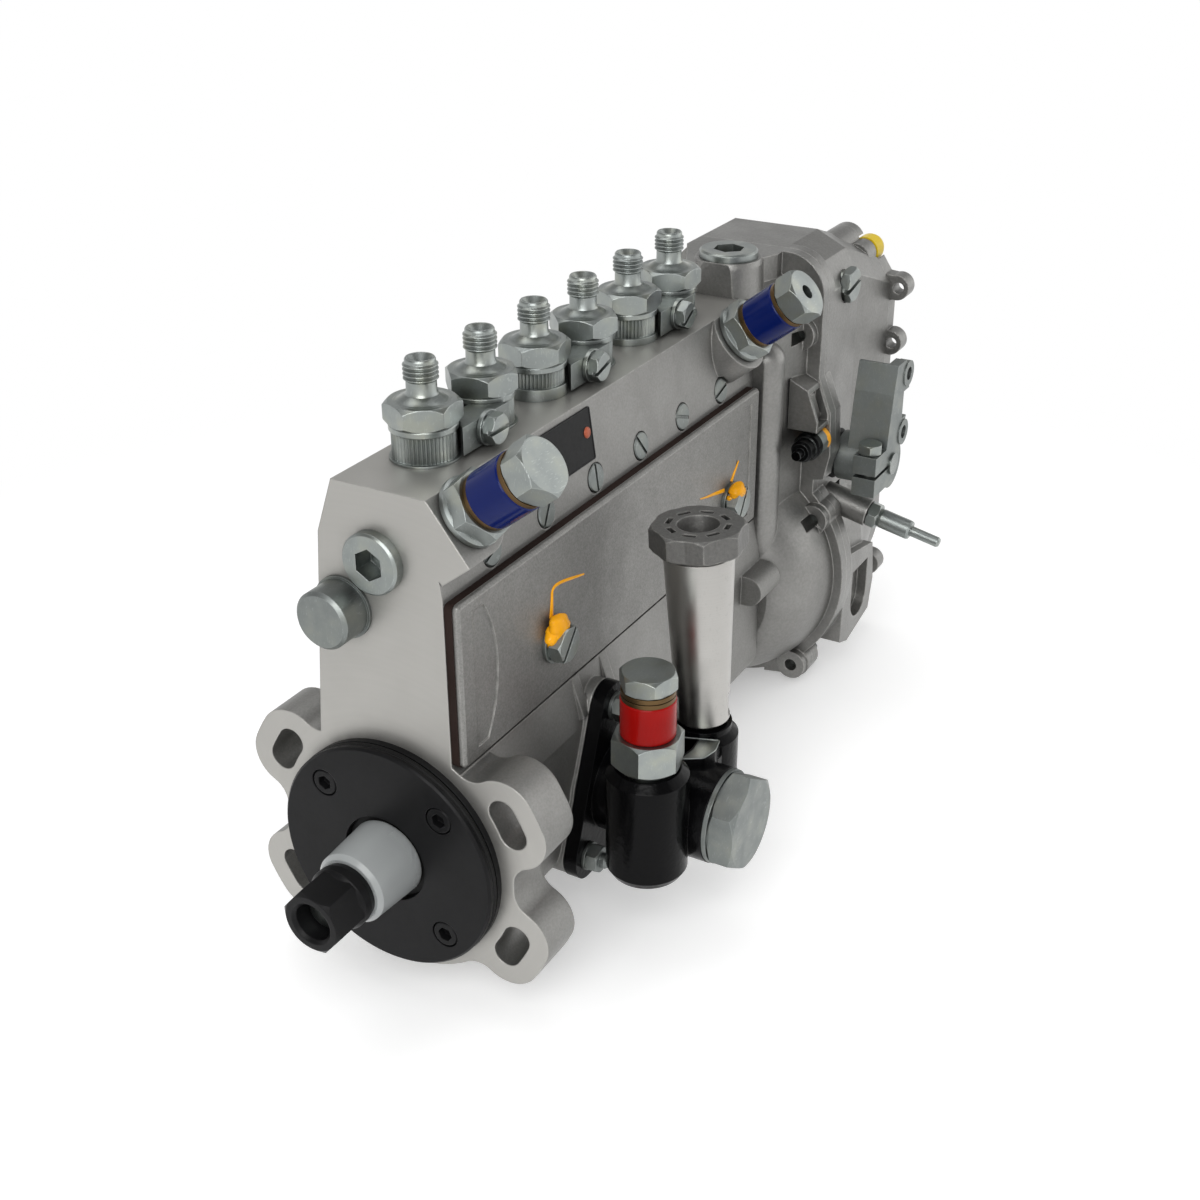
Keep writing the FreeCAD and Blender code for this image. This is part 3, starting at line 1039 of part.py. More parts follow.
def primer_knob():
    """The primer's eight-sided knob, with a round recess and eight moulded pockets."""
    corners = []
    for k in range(16):
        radius = KNOB_RADIUS if k % 2 == 0 else KNOB_RADIUS*0.90
        angle = math.radians(22.5*k)
        corners.append(V(radius*math.cos(angle), radius*math.sin(angle), 0))
    knob = prism(corners, V(0, 0, KNOB_THICKNESS))
    crown = turned([(0, KNOB_RADIUS - 1.2), (1.0, KNOB_RADIUS + 0.1), (KNOB_THICKNESS - 1.2, KNOB_RADIUS + 0.1),
                    (KNOB_THICKNESS, KNOB_RADIUS - 1.4)], V(0, 0, 0), Z_AXIS)
    knob = knob.common(crown)
    pockets = [Part.makeCone(KNOB_RECESS - 1.5, KNOB_RECESS, KNOB_THICKNESS - 1.5, V(0, 0, 1.6), Z_AXIS)]
    for k in range(8):
        pocket = box((KNOB_RECESS + 2.2, -2.6, KNOB_THICKNESS - 2.6), (KNOB_RECESS + 4.2, 2.6, KNOB_THICKNESS + 1))
        pocket.rotate(V(0, 0, 0), Z_AXIS, 45*k + 22.5)
        pockets.append(pocket)
    knob = knob.cut(Part.makeCompound(pockets))
    return placed(knob, primer_base() + primer_axis()*(PRIMER_LENGTH + PRIMER_NECK), primer_axis(), 32)


def primer_piston():
    profile = [(8, PRIMER_BORE - RUN), (18, PRIMER_BORE - RUN), (18, 3.4), (PRIMER_LENGTH - 8, 3.4), (PRIMER_LENGTH - 8, 7.0),
               (PRIMER_LENGTH + PRIMER_NECK, 7.0)]
    return placed(turned(profile, V(0, 0, 0), Z_AXIS), primer_base(), primer_axis())


def case_outline(x, front, back, top):
    """The governor's outline above the camshaft at X = x, with its front corner in two facets."""
    corner = GOVERNOR_CORNER
    return [V(x, back, 0), V(x, back, top - GOVERNOR_BACK_CORNER), V(x, back - GOVERNOR_BACK_CORNER, top),
            V(x, front + corner*1.2, top), V(x, front + corner*0.42, top - corner*0.38), V(x, front, top - corner),
            V(x, front, 0)]


def lofted(first, last):
    """A solid with flat or ruled faces between two outlines that have as many points."""
    return Part.makeLoft([Part.makePolygon(points + [points[0]]) for points in (first, last)], True, True)


def revolved_spline(points, base, axis):
    """A solid of revolution under a smooth curve through (distance along the axis, radius)."""
    curve = Part.BSplineCurve()
    curve.interpolate([V(r, 0, a) for a, r in points])
    first = V(0, 0, points[0][0])
    last = V(0, 0, points[-1][0])
    lines = [Part.makeLine(V(points[-1][1], 0, points[-1][0]), last), Part.makeLine(last, first),
             Part.makeLine(first, V(points[0][1], 0, points[0][0]))]
    face = Part.Face(Part.Wire([curve.toShape()] + lines))
    return placed(face.revolve(V(0, 0, 0), Z_AXIS, 360), base, axis)


def joint_plate(start, thickness):
    """The rim at the governor's joint: a large round front corner, the adjuster's ear and a lug at each bolt."""
    plate = box((start, GOVERNOR_FRONT_Y, 0), (start + thickness, GOVERNOR_BACK_Y, GOVERNOR_TOP))
    tops = [e for e in plate.Edges if e.BoundBox.ZMin > GOVERNOR_TOP - 0.01 and e.BoundBox.YLength < 0.01]
    front = [e for e in tops if e.BoundBox.YMin < 0]
    plate = plate.makeFillet(GOVERNOR_CORNER, front)
    back = [e for e in plate.Edges if e.BoundBox.ZMin > GOVERNOR_TOP - 0.01 and e.BoundBox.YMin > GOVERNOR_BACK_Y - 0.01]
    plate = plate.makeChamfer(GOVERNOR_BACK_CORNER, back)
    disc = cylinder(V(start, 0, 0), X_AXIS, GOVERNOR_ROUND, thickness)
    ear = prism([V(start, -30, EAR_HIGH), V(start, GOVERNOR_FRONT_Y, EAR_HIGH - 5), V(start, EAR_REACH + 1, EAR_HIGH - 21),
                 V(start, EAR_REACH, EAR_LOW + 16), V(start, EAR_REACH + 2.5, EAR_LOW + 4), V(start, -30, EAR_LOW)],
                V(thickness, 0, 0))
    lugs = [cylinder(V(start, y, z), X_AXIS, LUG_RADIUS, thickness) for y, z in OUTER_BOLTS]
    lugs += [prism([V(start, y*0.6, z - 9), V(start, y*0.6, z + 9), V(start, y, z + 7), V(start, y, z - 7)],
                   V(thickness, 0, 0)) for y, z in OUTER_BOLTS]
    return fused([plate, disc, ear] + lugs)


def front_ear():
    """The ear above the sealed adjuster: a web with a pocket crossed by a slanting rib."""
    start = JOINT_X - JOINT_LIP - 13
    depth = 13.0
    ear = prism([V(start, -34, EAR_HIGH - 3), V(start, GOVERNOR_FRONT_Y, EAR_HIGH - 7), V(start, EAR_REACH + 2, EAR_HIGH - 21),
                 V(start, EAR_REACH + 2, EAR_HIGH - 26), V(start, -34, EAR_HIGH - 26)], V(depth, 0, 0))
    pocket = box((start + 1.8, -60, EAR_HIGH - 24), (start + depth - 0.5, GOVERNOR_FRONT_Y + 1.5, EAR_HIGH - 9))
    rib = prism([V(start + 1, -38, EAR_HIGH - 9), V(start + 4, -38, EAR_HIGH - 9), V(start + depth, -38, EAR_HIGH - 22),
                 V(start + depth - 3, -38, EAR_HIGH - 24)], V(0, GOVERNOR_FRONT_Y - 1.5 + 38, 0))
    return [ear.cut(pocket), rib]


def governor_housing():
    """The front half of the governor's case: it closes the pump's rear end and holds the flyweights."""
    start = HOUSING_LENGTH
    rim = JOINT_X - JOINT_LIP
    inset = GOVERNOR_FRONT_Y + GOVERNOR_RIM_STEP
    foot = [V(start, 26.0, 0), V(start, 24.0, 110), V(start, 16.0, 138), V(start, -14.0, 140), V(start, -22.0, 136),
            V(start, -28.0, 124), V(start, -30.0, 0)]
    upper = lofted(foot, case_outline(rim, inset, GOVERNOR_BACK_Y, GOVERNOR_TOP - GOVERNOR_RIM_STEP))
    roof_low = GOVERNOR_TOP - 14.0
    roof = prism([V(start + 1, -14, roof_low), V(start + 1, 8, roof_low), V(start + 26, 20, roof_low), V(JOINT_X, 20, roof_low),
                  V(JOINT_X, -22, roof_low), V(start + 30, -22, roof_low), V(start + 22, -19, roof_low)], V(0, 0, 14.0))
    dome = revolved_spline([(start, 37), (start + 3, 42.5), (start + 8, 47.2), (start + 15, 51.0), (start + 24, 53.8),
                            (rim, GOVERNOR_DOME)], V(0, 0, 0), X_AXIS)
    boss = turned([(roof_low, 15.6), (GOVERNOR_TOP - 1.0, 14.8), (GOVERNOR_TOP + 1.2, 14.2)], V(TOP_PLUG_X, TOP_PLUG_Y, 0), Z_AXIS)
    column = fused([cylinder(V(start + 8, -28, 14), Z_AXIS, COLUMN_RADIUS, COLUMN_TOP - 14),
                    Part.makeSphere(COLUMN_RADIUS, V(start + 8, -28, COLUMN_TOP))])
    lugs = [cylinder(V(JOINT_X - LUG_LENGTH, y, z), X_AXIS, LUG_RADIUS - 0.6, LUG_LENGTH) for y, z in GOVERNOR_BOLT_PLACES]
    y, z = OUTER_BOLTS[0]
    tab = prism([V(JOINT_X - LUG_LENGTH, y - 6, z - 4), V(JOINT_X - LUG_LENGTH - 9, y + 8, z + 6),
                 V(JOINT_X - LUG_LENGTH, y + 12, z + 6)], V(LUG_LENGTH, 0, 0))
    case = fused([upper, roof, dome, joint_plate(rim, JOINT_LIP), boss, column, tab] + lugs + front_ear())
    wall = start + GOVERNOR_WALL
    deep = start + 20.0
    room = fused([cylinder(V(wall, 0, 0), X_AXIS, 34.0, 60), cylinder(V(start + 13, 0, 0), X_AXIS, 45.0, 60),
                  box((wall + 2, -22, 0), (JOINT_X + 1, 14, 130)), box((deep, -29, 0), (JOINT_X + 1, 14, 134)),
                  box((wall + 2, 4, RACK_Z - 12), (JOINT_X + 1, 21, RACK_Z + 12))])
    y, z = INNER_BOLT
    room = room.cut(cylinder(V(JOINT_X - LUG_LENGTH, y, z), X_AXIS, LUG_RADIUS, LUG_LENGTH + 2))
    cuts = [room, box((start - 20, -100, -100), (start, 100, 200)),
            cylinder(V(start - 1, 0, 0), X_AXIS, 20.0, 20),
            cylinder(V(start - 1, RACK_Y, RACK_Z), X_AXIS, RACK_RADIUS + 1.0, 20),
            cylinder(V(TOP_PLUG_X, TOP_PLUG_Y, 120), Z_AXIS, 10.0, 60)]
    for y, z in GOVERNOR_BOLT_PLACES:
        cuts.append(cylinder(V(JOINT_X - LUG_LENGTH - 8, y, z), X_AXIS, GOVERNOR_BOLT_RADIUS, 30))
    seat = ADJUSTER_RADIUS + 0.8
    cuts.append(cylinder(V(start, ADJUSTER_Y, ADJUSTER_Z), X_AXIS, seat, rim - start - 0.2))
    cuts.append(cylinder(V(start, ADJUSTER_Y, ADJUSTER_Z), X_AXIS, 3.0, 40))
    return case.cut(Part.makeCompound(cuts))


def cover_block():
    """The squared foot of the rear half on the access side, with a round-ended pocket in its face."""
    start = JOINT_X + JOINT_LIP - 1
    face = -57.0
    outline = [(start, 8), (start + 36, 1), (start + 40, -20), (start + 36, -35), (start + 9, -41), (start, -38)]
    block = prism([V(x, face, z) for x, z in outline], V(0, 30, 0))
    pocket = fused([box((start + 11, face - 1, -22), (start + 31, face + 5, -5)),
                    cylinder(V(start + 21, face - 1, -22), Y_AXIS, 10, 6)])
    return block, pocket


def governor_cover():
    """The rear half of the governor's case, which carries the control lever's shaft."""
    lip = joint_plate(JOINT_X, JOINT_LIP)
    outline = case_outline(JOINT_X, GOVERNOR_FRONT_Y, GOVERNOR_BACK_Y, GOVERNOR_TOP)
    upper = prism(outline, V(TOP_REAR - JOINT_X, 0, 0))
    tail = lofted(case_outline(TOP_REAR, GOVERNOR_FRONT_Y, GOVERNOR_BACK_Y, GOVERNOR_TOP),
                  case_outline(GOVERNOR_REAR, REAR_FRONT_Y, REAR_BACK_Y, REAR_TOP))
    drum = turned([(JOINT_X, GOVERNOR_DRUM), (JOINT_X + 36, GOVERNOR_DRUM), (GOVERNOR_REAR, REAR_ROUND)], V(0, 0, 0), X_AXIS)
    boss = cylinder(V(LEVER_X, -30, LEVER_Z), Y_AXIS*-1, LEVER_BOSS_RADIUS, -LEVER_BOSS_END - 30)
    horn = cylinder(V(TOP_REAR + 6, HORN_PLACE[0], HORN_PLACE[1]), X_AXIS, HORN_RADIUS, GOVERNOR_REAR - TOP_REAR - 6)
    stop = cylinder(V(*STOP_PLACE) - STOP_AXIS*0.2, STOP_AXIS*-1, 6.6, 26)
    seat = cylinder(V(GOVERNOR_REAR - 10, CAP_PLACE[1], CAP_PLACE[2]), X_AXIS, CAP_RADIUS - 0.3, 10)
    block, pocket = cover_block()
    case = fused([lip, upper, tail, drum, boss, horn, stop, block, seat])
    hub_room = cylinder(V(LEVER_X, LEVER_BOSS_END, LEVER_Z), Y_AXIS*-1, LEVER_BOSS_RADIUS + 0.6, 20)
    room = fused([cylinder(V(JOINT_X - 1, 0, 0), X_AXIS, 45.0, 50),
                  box((JOINT_X - 1, -36, 0), (GOVERNOR_REAR - 12, 21, 112)),
                  box((JOINT_X - 1, -34, 100), (TOP_REAR - 6, 10, 142))])
    y, z = INNER_BOLT
    room = room.cut(cylinder(V(JOINT_X - 2, y, z), X_AXIS, LUG_RADIUS, JOINT_LIP + 2))
    cuts = [hub_room, room, pocket, cylinder(V(*STOP_PLACE), STOP_AXIS*-1, 4.0, 9),
            cylinder(V(JOINT_X + JOINT_LIP, y, z), X_AXIS, 6.4, 12),
            cylinder(V(LEVER_X, 0, LEVER_Z), Y_AXIS*-1, LEVER_SHAFT_RADIUS + RUN, 70)]
    for y, z in GOVERNOR_BOLT_PLACES:
        cuts.append(cylinder(V(JOINT_X - 1, y, z), X_AXIS, GOVERNOR_BOLT_RADIUS + 0.2, 9))
    for y, z in OUTER_BOLTS:
        cuts.append(cylinder(V(JOINT_X + JOINT_LIP, y, z), X_AXIS, 6.6, 22))
    cuts.append(cylinder(V(*SIDE_PLUG_PLACE) + Y_AXIS*1.4, Y_AXIS, 6.0, 9))
    cuts.append(cylinder(V(*SIDE_PLUG_PLACE) - Y_AXIS, Y_AXIS, 8.4, 2.4))
    pivot = cylinder(V(LEVER_X, -8, LINK_PIVOT_Z), Y_AXIS, LINK_PIN_RADIUS, 55)
    wall = box((LEVER_X - 6, 40, LINK_PIVOT_Z - 6), (LEVER_X + 6, 48, LINK_PIVOT_Z + 6))
    return fused([case.cut(Part.makeCompound(cuts)), pivot, wall])


def governor_end_plate():
    """The plate that closes the case's rear end, with its bolt lugs and a notch round the cap."""
    plate = prism(case_outline(GOVERNOR_REAR, REAR_FRONT_Y, REAR_BACK_Y, REAR_TOP), V(END_PLATE, 0, 0))
    pieces = [plate, cylinder(V(GOVERNOR_REAR, 0, 0), X_AXIS, REAR_ROUND, END_PLATE),
              cylinder(V(GOVERNOR_REAR, HORN_PLACE[0], HORN_PLACE[1]), X_AXIS, HORN_RADIUS, END_PLATE - 2)]
    holes = [cylinder(V(GOVERNOR_REAR - 1, CAP_PLACE[1], CAP_PLACE[2]), X_AXIS, CAP_RADIUS + 1.0, END_PLATE + 2)]
    for y, z in ((-50, 121), (-48.5, 94), (-46, 24), (26, 100), (-46, -24), (36, -30)):
        pieces.append(cylinder(V(GOVERNOR_REAR, y, z), X_AXIS, 6.0, END_PLATE))
        pieces.append(prism([V(GOVERNOR_REAR, y*0.5, z - 12), V(GOVERNOR_REAR, y*0.5, z + 8), V(GOVERNOR_REAR, y, z + 5.5),
                             V(GOVERNOR_REAR, y, z - 5.5)], V(END_PLATE, 0, 0)))
        if y < REAR_FRONT_Y:
            holes.append(cylinder(V(GOVERNOR_REAR - 1, y - 1, z), X_AXIS, 2.6, END_PLATE + 2))
    return fused(pieces).cut(Part.makeCompound(holes))


def governor_bolts():
    """Hexagon bolts through the governor's joint, their heads on the rear half."""
    shapes = []
    for y, z in GOVERNOR_BOLT_PLACES:
        head = hexagon(10.0, 4.2, 0.7)
        head.translate(V(0, 0, 1.2))
        stem = cylinder(V(0, 0, -2*JOINT_LIP + 1), Z_AXIS, GOVERNOR_BOLT_RADIUS, 2*JOINT_LIP - 1)
        pad = turned([(0, 5.9), (1.2, 5.9)], V(0, 0, 0), Z_AXIS)
        shapes.append(placed(fused([head, stem, pad]), V(JOINT_X + JOINT_LIP, y, z), X_AXIS, 10))
    return shapes


def side_plug():
    plug = hexagon(SIDE_PLUG_ACROSS_FLATS, 4.6, 1.0)
    plug = plug.cut(slot_cutter(2.2, 2.2, 40, 4.6))
    stem = cylinder(V(0, 0, -8), Z_AXIS, 5.9, 8)
    return placed(fused([plug, stem]), V(*SIDE_PLUG_PLACE) + Y_AXIS*1.2, Y_AXIS*-1, 12)


def adjuster_cap():
    """The sealed cap over the full-load adjuster, on its boss at the end plate's corner."""
    radius = CAP_RADIUS
    cap = turned([(0.2, radius - 1), (1.2, radius - 1), (1.2, radius), (9, radius), (11.5, radius - 0.8), (13.2, radius - 2.6),
                  (14, radius - 4.6)], V(0, 0, 0), Z_AXIS)
    return placed(cap, V(*CAP_PLACE), X_AXIS)


def lever_shaft():
    """The control lever's shaft, with the crank inside the case that moves the fulcrum lever."""
    end = LEVER_HUB_END - 1.2
    shaft = cylinder(V(LEVER_X, 3, LEVER_Z), Y_AXIS*-1, LEVER_SHAFT_RADIUS, 3 - end)
    arm = box((LEVER_X - 4, -2, LEVER_Z), (LEVER_X + 4, 3, LEVER_Z + CRANK_RADIUS + 4))
    pin = cylinder(V(LEVER_X, -2, LEVER_Z + CRANK_RADIUS), Y_AXIS, 2.4, 11)
    return fused([shaft, arm, pin])


def control_lever():
    """The speed control lever: a split clamping hub and an upright arm with two rod eyes."""
    end = LEVER_HUB_END
    ear_start = end + LEVER_EAR_WIDTH
    hub = cylinder(V(LEVER_X, LEVER_HUB_START, LEVER_Z), Y_AXIS*-1, LEVER_HUB_RADIUS, LEVER_HUB_START - end)
    ear = box((LEVER_X - LEVER_EAR_REACH, end, LEVER_Z - 9.5), (LEVER_X, ear_start, LEVER_Z + 9.5))
    arm = prism([V(LEVER_X - 9, end, LEVER_Z + 6), V(LEVER_X + 9, end, LEVER_Z + 6), V(LEVER_X + 15, end, LEVER_Z + 20),
                 V(LEVER_X + 16, end, LEVER_Z + 40), V(LEVER_X + 9, end, LEVER_Z + 47), V(LEVER_X - 1, end, LEVER_Z + 47),
                 V(LEVER_X - 4, end, LEVER_Z + 34)], V(0, ARM_START - end, 0))
    wall_face = end + ARM_WALL
    web = box((LEVER_X + 0.5, wall_face, LEVER_Z + 13), (LEVER_X + 30, ARM_START + 1, LEVER_Z + 60))
    notch = box((LEVER_X + 9, end - 1, LEVER_Z + 19), (LEVER_X + 30, ARM_START + 1, LEVER_Z + 32))
    lobes = [cylinder(V(LEVER_X + x, end + EYE_THICKNESS - 0.6, LEVER_Z + z), Y_AXIS*-1, EYE_RADIUS, EYE_THICKNESS)
             for x, z in EYE_PLACES]
    lever = fused([hub, ear, arm.cut(web).cut(notch)] + lobes)
    cuts = [cylinder(V(LEVER_X, 0, LEVER_Z), Y_AXIS*-1, LEVER_SHAFT_RADIUS, 120),
            box((LEVER_X - 30, end - 1, LEVER_Z - 0.9), (LEVER_X - 2, ear_start + 1, LEVER_Z + 0.9)),
            cylinder(V(LEVER_X - 15, (ear_start + end)/2, LEVER_Z - 20), Z_AXIS, 3.0, 40)]
    for x, z in EYE_PLACES:
        behind = V(LEVER_X + x, ARM_START + 1, LEVER_Z + z)
        cuts.append(cylinder(behind, Y_AXIS*-1, EYE_RADIUS + EYE_RELIEF, behind.y - wall_face))
        cuts.append(cylinder(behind, Y_AXIS*-1, EYE_BORE, 120))
    return lever.cut(Part.makeCompound(cuts))


def lever_clamp_screw():
    middle = LEVER_HUB_END + LEVER_EAR_WIDTH/2
    head = hexagon(10.0, 4.6, 0.7)
    stem = cylinder(V(0, 0, -19.2), Z_AXIS, 3.0, 19.2)
    return placed(fused([head, stem]), V(LEVER_X - 15, middle, LEVER_Z + 9.6), Z_AXIS, 20)


def stop_screw():
    """The lever's stop: a sleeved screw with its locknut, tilted outwards below the lever."""
    nut = hexagon(11.0, 5.0, 0.8)
    sleeve = turned([(-8, 3.9), (0, 3.9), (5, 3.9), (5, 4.1), (6.5, 4.5), (20, 4.5), (21, 4.1)], V(0, 0, 0), Z_AXIS)
    rod = turned([(21, 2.4), (34.5, 2.4), (35.4, 1.7)], V(0, 0, 0), Z_AXIS)
    return placed(fused([nut, sleeve, rod]), V(*STOP_PLACE), STOP_AXIS, 40)


def sealed_adjuster():
    """The forward-facing adjusting screw under its crimped cap, beside the joint."""
    radius = ADJUSTER_RADIUS
    body = turned([(-5, 2.9), (0, 2.9), (0, radius), (13, radius), (14.4, radius - 0.9), (14.4, 5.0), (19, 5.0), (20.4, 4.0),
                   (20.4, 2.2), (25, 2.2)], V(0, 0, 0), Z_AXIS)
    return placed(body, V(JOINT_X - JOINT_LIP - 0.3, ADJUSTER_Y, ADJUSTER_Z), X_AXIS*-1, 0)


def flyweight_carrier():
    """The hub on the camshaft's rear end, with a fork for each flyweight."""
    hub = ring([(1, GOVERNOR_HUB_RADIUS), (1, 15), (6, 15), (6, 30), (10, 30), (10, 13), (13, 13),
                (13, GOVERNOR_HUB_RADIUS)], V(HOUSING_LENGTH, 0, 0), X_AXIS)
    web = HOUSING_LENGTH + 6
    ears = []
    for edge in (-9.0, 7.0):
        ears.append(box((web, edge, 20), (WEIGHT_PIN_X + 4, edge + 2.0, WEIGHT_PIN_Z + 4)))
        ears.append(box((web, edge, -WEIGHT_PIN_Z - 4), (WEIGHT_PIN_X + 4, edge + 2.0, -20)))
    carrier = fused([hub] + ears)
    pins = [cylinder(V(WEIGHT_PIN_X, -20, side*WEIGHT_PIN_Z), Y_AXIS, 1.6, 40) for side in (-1, 1)]
    return carrier.cut(Part.makeCompound(pins))


def flyweight(turn):
    """A flyweight on its pin: a heavy block outside the pin and a toe that pushes the sleeve."""
    x = WEIGHT_PIN_X
    z = WEIGHT_PIN_Z
    block = box((x + 2.5, -6.4, z - 3), (x + 15, 6.4, z + 10))
    arm = box((x - 2.2, -6.4, z - 3), (x + 3, 6.4, z + 4))
    toe = box((x - 2, -3.0, z - WEIGHT_TOE), (x + 3, 3.0, z))
    pin = cylinder(V(x, -9.4, z), Y_AXIS, 1.6 - RUN, 18.8)
    weight = fused([block, arm, toe, pin])
    weight.rotate(V(0, 0, 0), X_AXIS, turn)
    return weight


def governor_sleeve():
    """The sliding sleeve that the flyweights push towards the linkage."""
    bore = SPINDLE_RADIUS + RUN
    start = WEIGHT_PIN_X + 3.3
    profile = [(start, bore), (start, 20), (start + 3, 20), (start + 3, 9), (start + 10, 9), (start + 10, 13), (start + 17, 13),
               (start + 17, 9), (start + 19, 9), (start + 19, bore)]
    return ring(profile, V(0, 0, 0), X_AXIS)


def governor_lever():
    """The fulcrum lever: pivoted low in the case, moved by the crank and pushing the rack."""
    low = LINK_PIVOT_Z
    y = 5.0
    plate = box((LEVER_X - 5.5, y, low), (LEVER_X + 5.5, y + 3, RACK_Z))
    foot = cylinder(V(LEVER_X, y, low), Y_AXIS, 5.5, 3)
    head = cylinder(V(LEVER_X, y, RACK_Z), Y_AXIS, 5.5, 3)
    pin = cylinder(V(LEVER_X, y, RACK_Z), Y_AXIS, ROD_PIN_RADIUS, RACK_Y + 1 - y)
    plate = fused([plate, foot, head, pin])
    pivot = cylinder(V(LEVER_X, -20, low), Y_AXIS, LINK_PIN_RADIUS + RUN, 60)
    crank = LEVER_Z + CRANK_RADIUS
    slot = fused([box((LEVER_X - 2.7, 0, crank - 2.2), (LEVER_X + 2.7, 12, crank + 1.2)), cylinder(V(LEVER_X, 0, crank - 2.2), Y_AXIS, 2.7, 12),
                  cylinder(V(LEVER_X, 0, crank + 1.2), Y_AXIS, 2.7, 12)])
    return plate.cut(Part.makeCompound([pivot, slot]))


def main():
    os.makedirs("parts", exist_ok=True)
    write("pump_housing", pump_housing())
    write("side_cover", side_cover())
    write("side_cover_gasket", side_cover_gasket())
    write("side_cover_screws", side_cover_screws())
    write("bearing_cover", bearing_cover())
    write("bearing_cover_screws", bearing_cover_screws())
    write("rubber_seals", rubber_seals())
    write("bearing_cups", bearing_cups())
    write("bearing_cones", bearing_cones())
    write("camshaft", camshaft())
    write("shaft_sleeve", shaft_sleeve())
    write("shaft_nut", shaft_nut())
    write("cam_followers", cam_followers())
    write("plunger_springs", plunger_springs())
    write("barrels_and_valves", barrels_and_valves())
    for i in range(CYLINDERS):
        write("control_sleeve_%d" % (i + 1), control_sleeve(i))
        write("delivery_holder_%d" % (i + 1), delivery_holder(i))
    write("control_rack", control_rack())
    write("rack_end_cap", rack_end_cap())
    write("socket_plugs", socket_plugs())
    write("barrel_screws", barrel_screws())
    write("clamp_jaws", clamp_jaws())
    write("clamp_screws", clamp_screws())
    bodies, screws, gallery_sleeves, red, washers = unions()
    write("union_bodies", bodies)
    write("hollow_screws", screws)
    write("gallery_cap_sleeves", gallery_sleeves)
    write("inlet_cap_sleeve", red)
    write("sealing_washers", washers)
    write("feed_pump_body", feed_pump_body())
    write("feed_pump_plugs", feed_pump_plugs())
    write("feed_pump_nuts", feed_pump_nuts())
    write("primer_barrel", primer_barrel())
    write("primer_knob", primer_knob())
    write("primer_piston", primer_piston())
    write("governor_housing", governor_housing())
    write("governor_cover", governor_cover())
    write("governor_end_plate", governor_end_plate())
    write("governor_bolts", governor_bolts())
    write("side_plug", side_plug())
    write("adjuster_cap", adjuster_cap())
    write("lever_shaft", lever_shaft())
    write("control_lever", control_lever())
    write("lever_clamp_screw", lever_clamp_screw())
    write("stop_screw", stop_screw())
    write("sealed_adjuster", sealed_adjuster())
    write("flyweight_carrier", flyweight_carrier())
    write("flyweight_1", flyweight(0))
    write("flyweight_2", flyweight(180))
    write("governor_sleeve", governor_sleeve())
    write("governor_lever", governor_lever())


main()
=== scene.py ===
"""Dresses the diesel injection pump: the finish of every casting, screw and sleeve, and the small
pieces that the solids lack, such as threads, bare plates and sealing paint.

Metres. X runs along the camshaft from the drive end to the governor, +Z is up, and -Y is the side
with the access cover. Every finished piece stands at the origin with its place in its mesh.
"""
import math

import bpy
from bpy.props import FloatProperty, FloatVectorProperty, IntProperty, PointerProperty
from mathutils import Matrix, Vector


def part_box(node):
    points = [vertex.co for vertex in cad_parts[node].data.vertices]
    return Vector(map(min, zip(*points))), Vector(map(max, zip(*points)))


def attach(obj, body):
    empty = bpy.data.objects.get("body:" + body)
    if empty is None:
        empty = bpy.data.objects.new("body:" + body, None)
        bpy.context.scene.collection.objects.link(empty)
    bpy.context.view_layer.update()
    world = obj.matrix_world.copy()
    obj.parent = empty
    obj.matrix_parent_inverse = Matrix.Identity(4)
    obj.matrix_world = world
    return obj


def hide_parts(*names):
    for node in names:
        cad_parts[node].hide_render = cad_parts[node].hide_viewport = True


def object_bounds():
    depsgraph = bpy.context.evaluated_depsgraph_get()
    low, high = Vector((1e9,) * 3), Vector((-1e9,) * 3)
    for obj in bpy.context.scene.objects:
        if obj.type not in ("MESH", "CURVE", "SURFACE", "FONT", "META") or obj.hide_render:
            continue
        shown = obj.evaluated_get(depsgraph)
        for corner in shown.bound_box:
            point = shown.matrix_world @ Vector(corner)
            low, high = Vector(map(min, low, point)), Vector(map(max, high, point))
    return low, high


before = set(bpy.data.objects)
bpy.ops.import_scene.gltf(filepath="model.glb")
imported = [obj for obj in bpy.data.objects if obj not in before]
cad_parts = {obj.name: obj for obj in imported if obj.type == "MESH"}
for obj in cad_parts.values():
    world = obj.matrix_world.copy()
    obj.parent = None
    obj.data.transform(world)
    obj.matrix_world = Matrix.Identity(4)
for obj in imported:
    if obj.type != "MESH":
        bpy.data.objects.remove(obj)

bl_info = {
    "name": "Diesel Injection Pump",
    "version": (1, 0, 0),
    "blender": (4, 5, 0),
    "location": "3D View > Sidebar > Injection Pump",
    "description": "Finishes and small pieces of a six-cylinder diesel injection pump",
    "category": "Object",
}

MM = 0.001
CAD_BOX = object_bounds()

# The delivery holders: places and heights on the pump, the turn of each hexagon in degrees, and the
# height of the smooth ring under each serrated body
HOLDERS = ["delivery_holder_%d" % number for number in range(1, 7)]
HOLDER_PITCH = 35.0*MM
FIRST_HOLDER_X = 30.6*MM
DECK_Z = 139.5*MM
HEXAGON_LOW = 151.8*MM
HEXAGON_HIGH = 159.5*MM
HOLDER_TIP_Z = 173.8*MM
COLLAR_RADIUS = 12.0*MM
CORE_RADIUS = 9.0*MM
NIPPLE_LENGTH = 7.6*MM
HEX_TURNS = (6.0, 43.0, 11.0, 46.0, 2.0, 57.0)
PLAIN_RINGS = (0.0, 0.0, 3.6*MM, 0.0, 2.0*MM, 0.0)

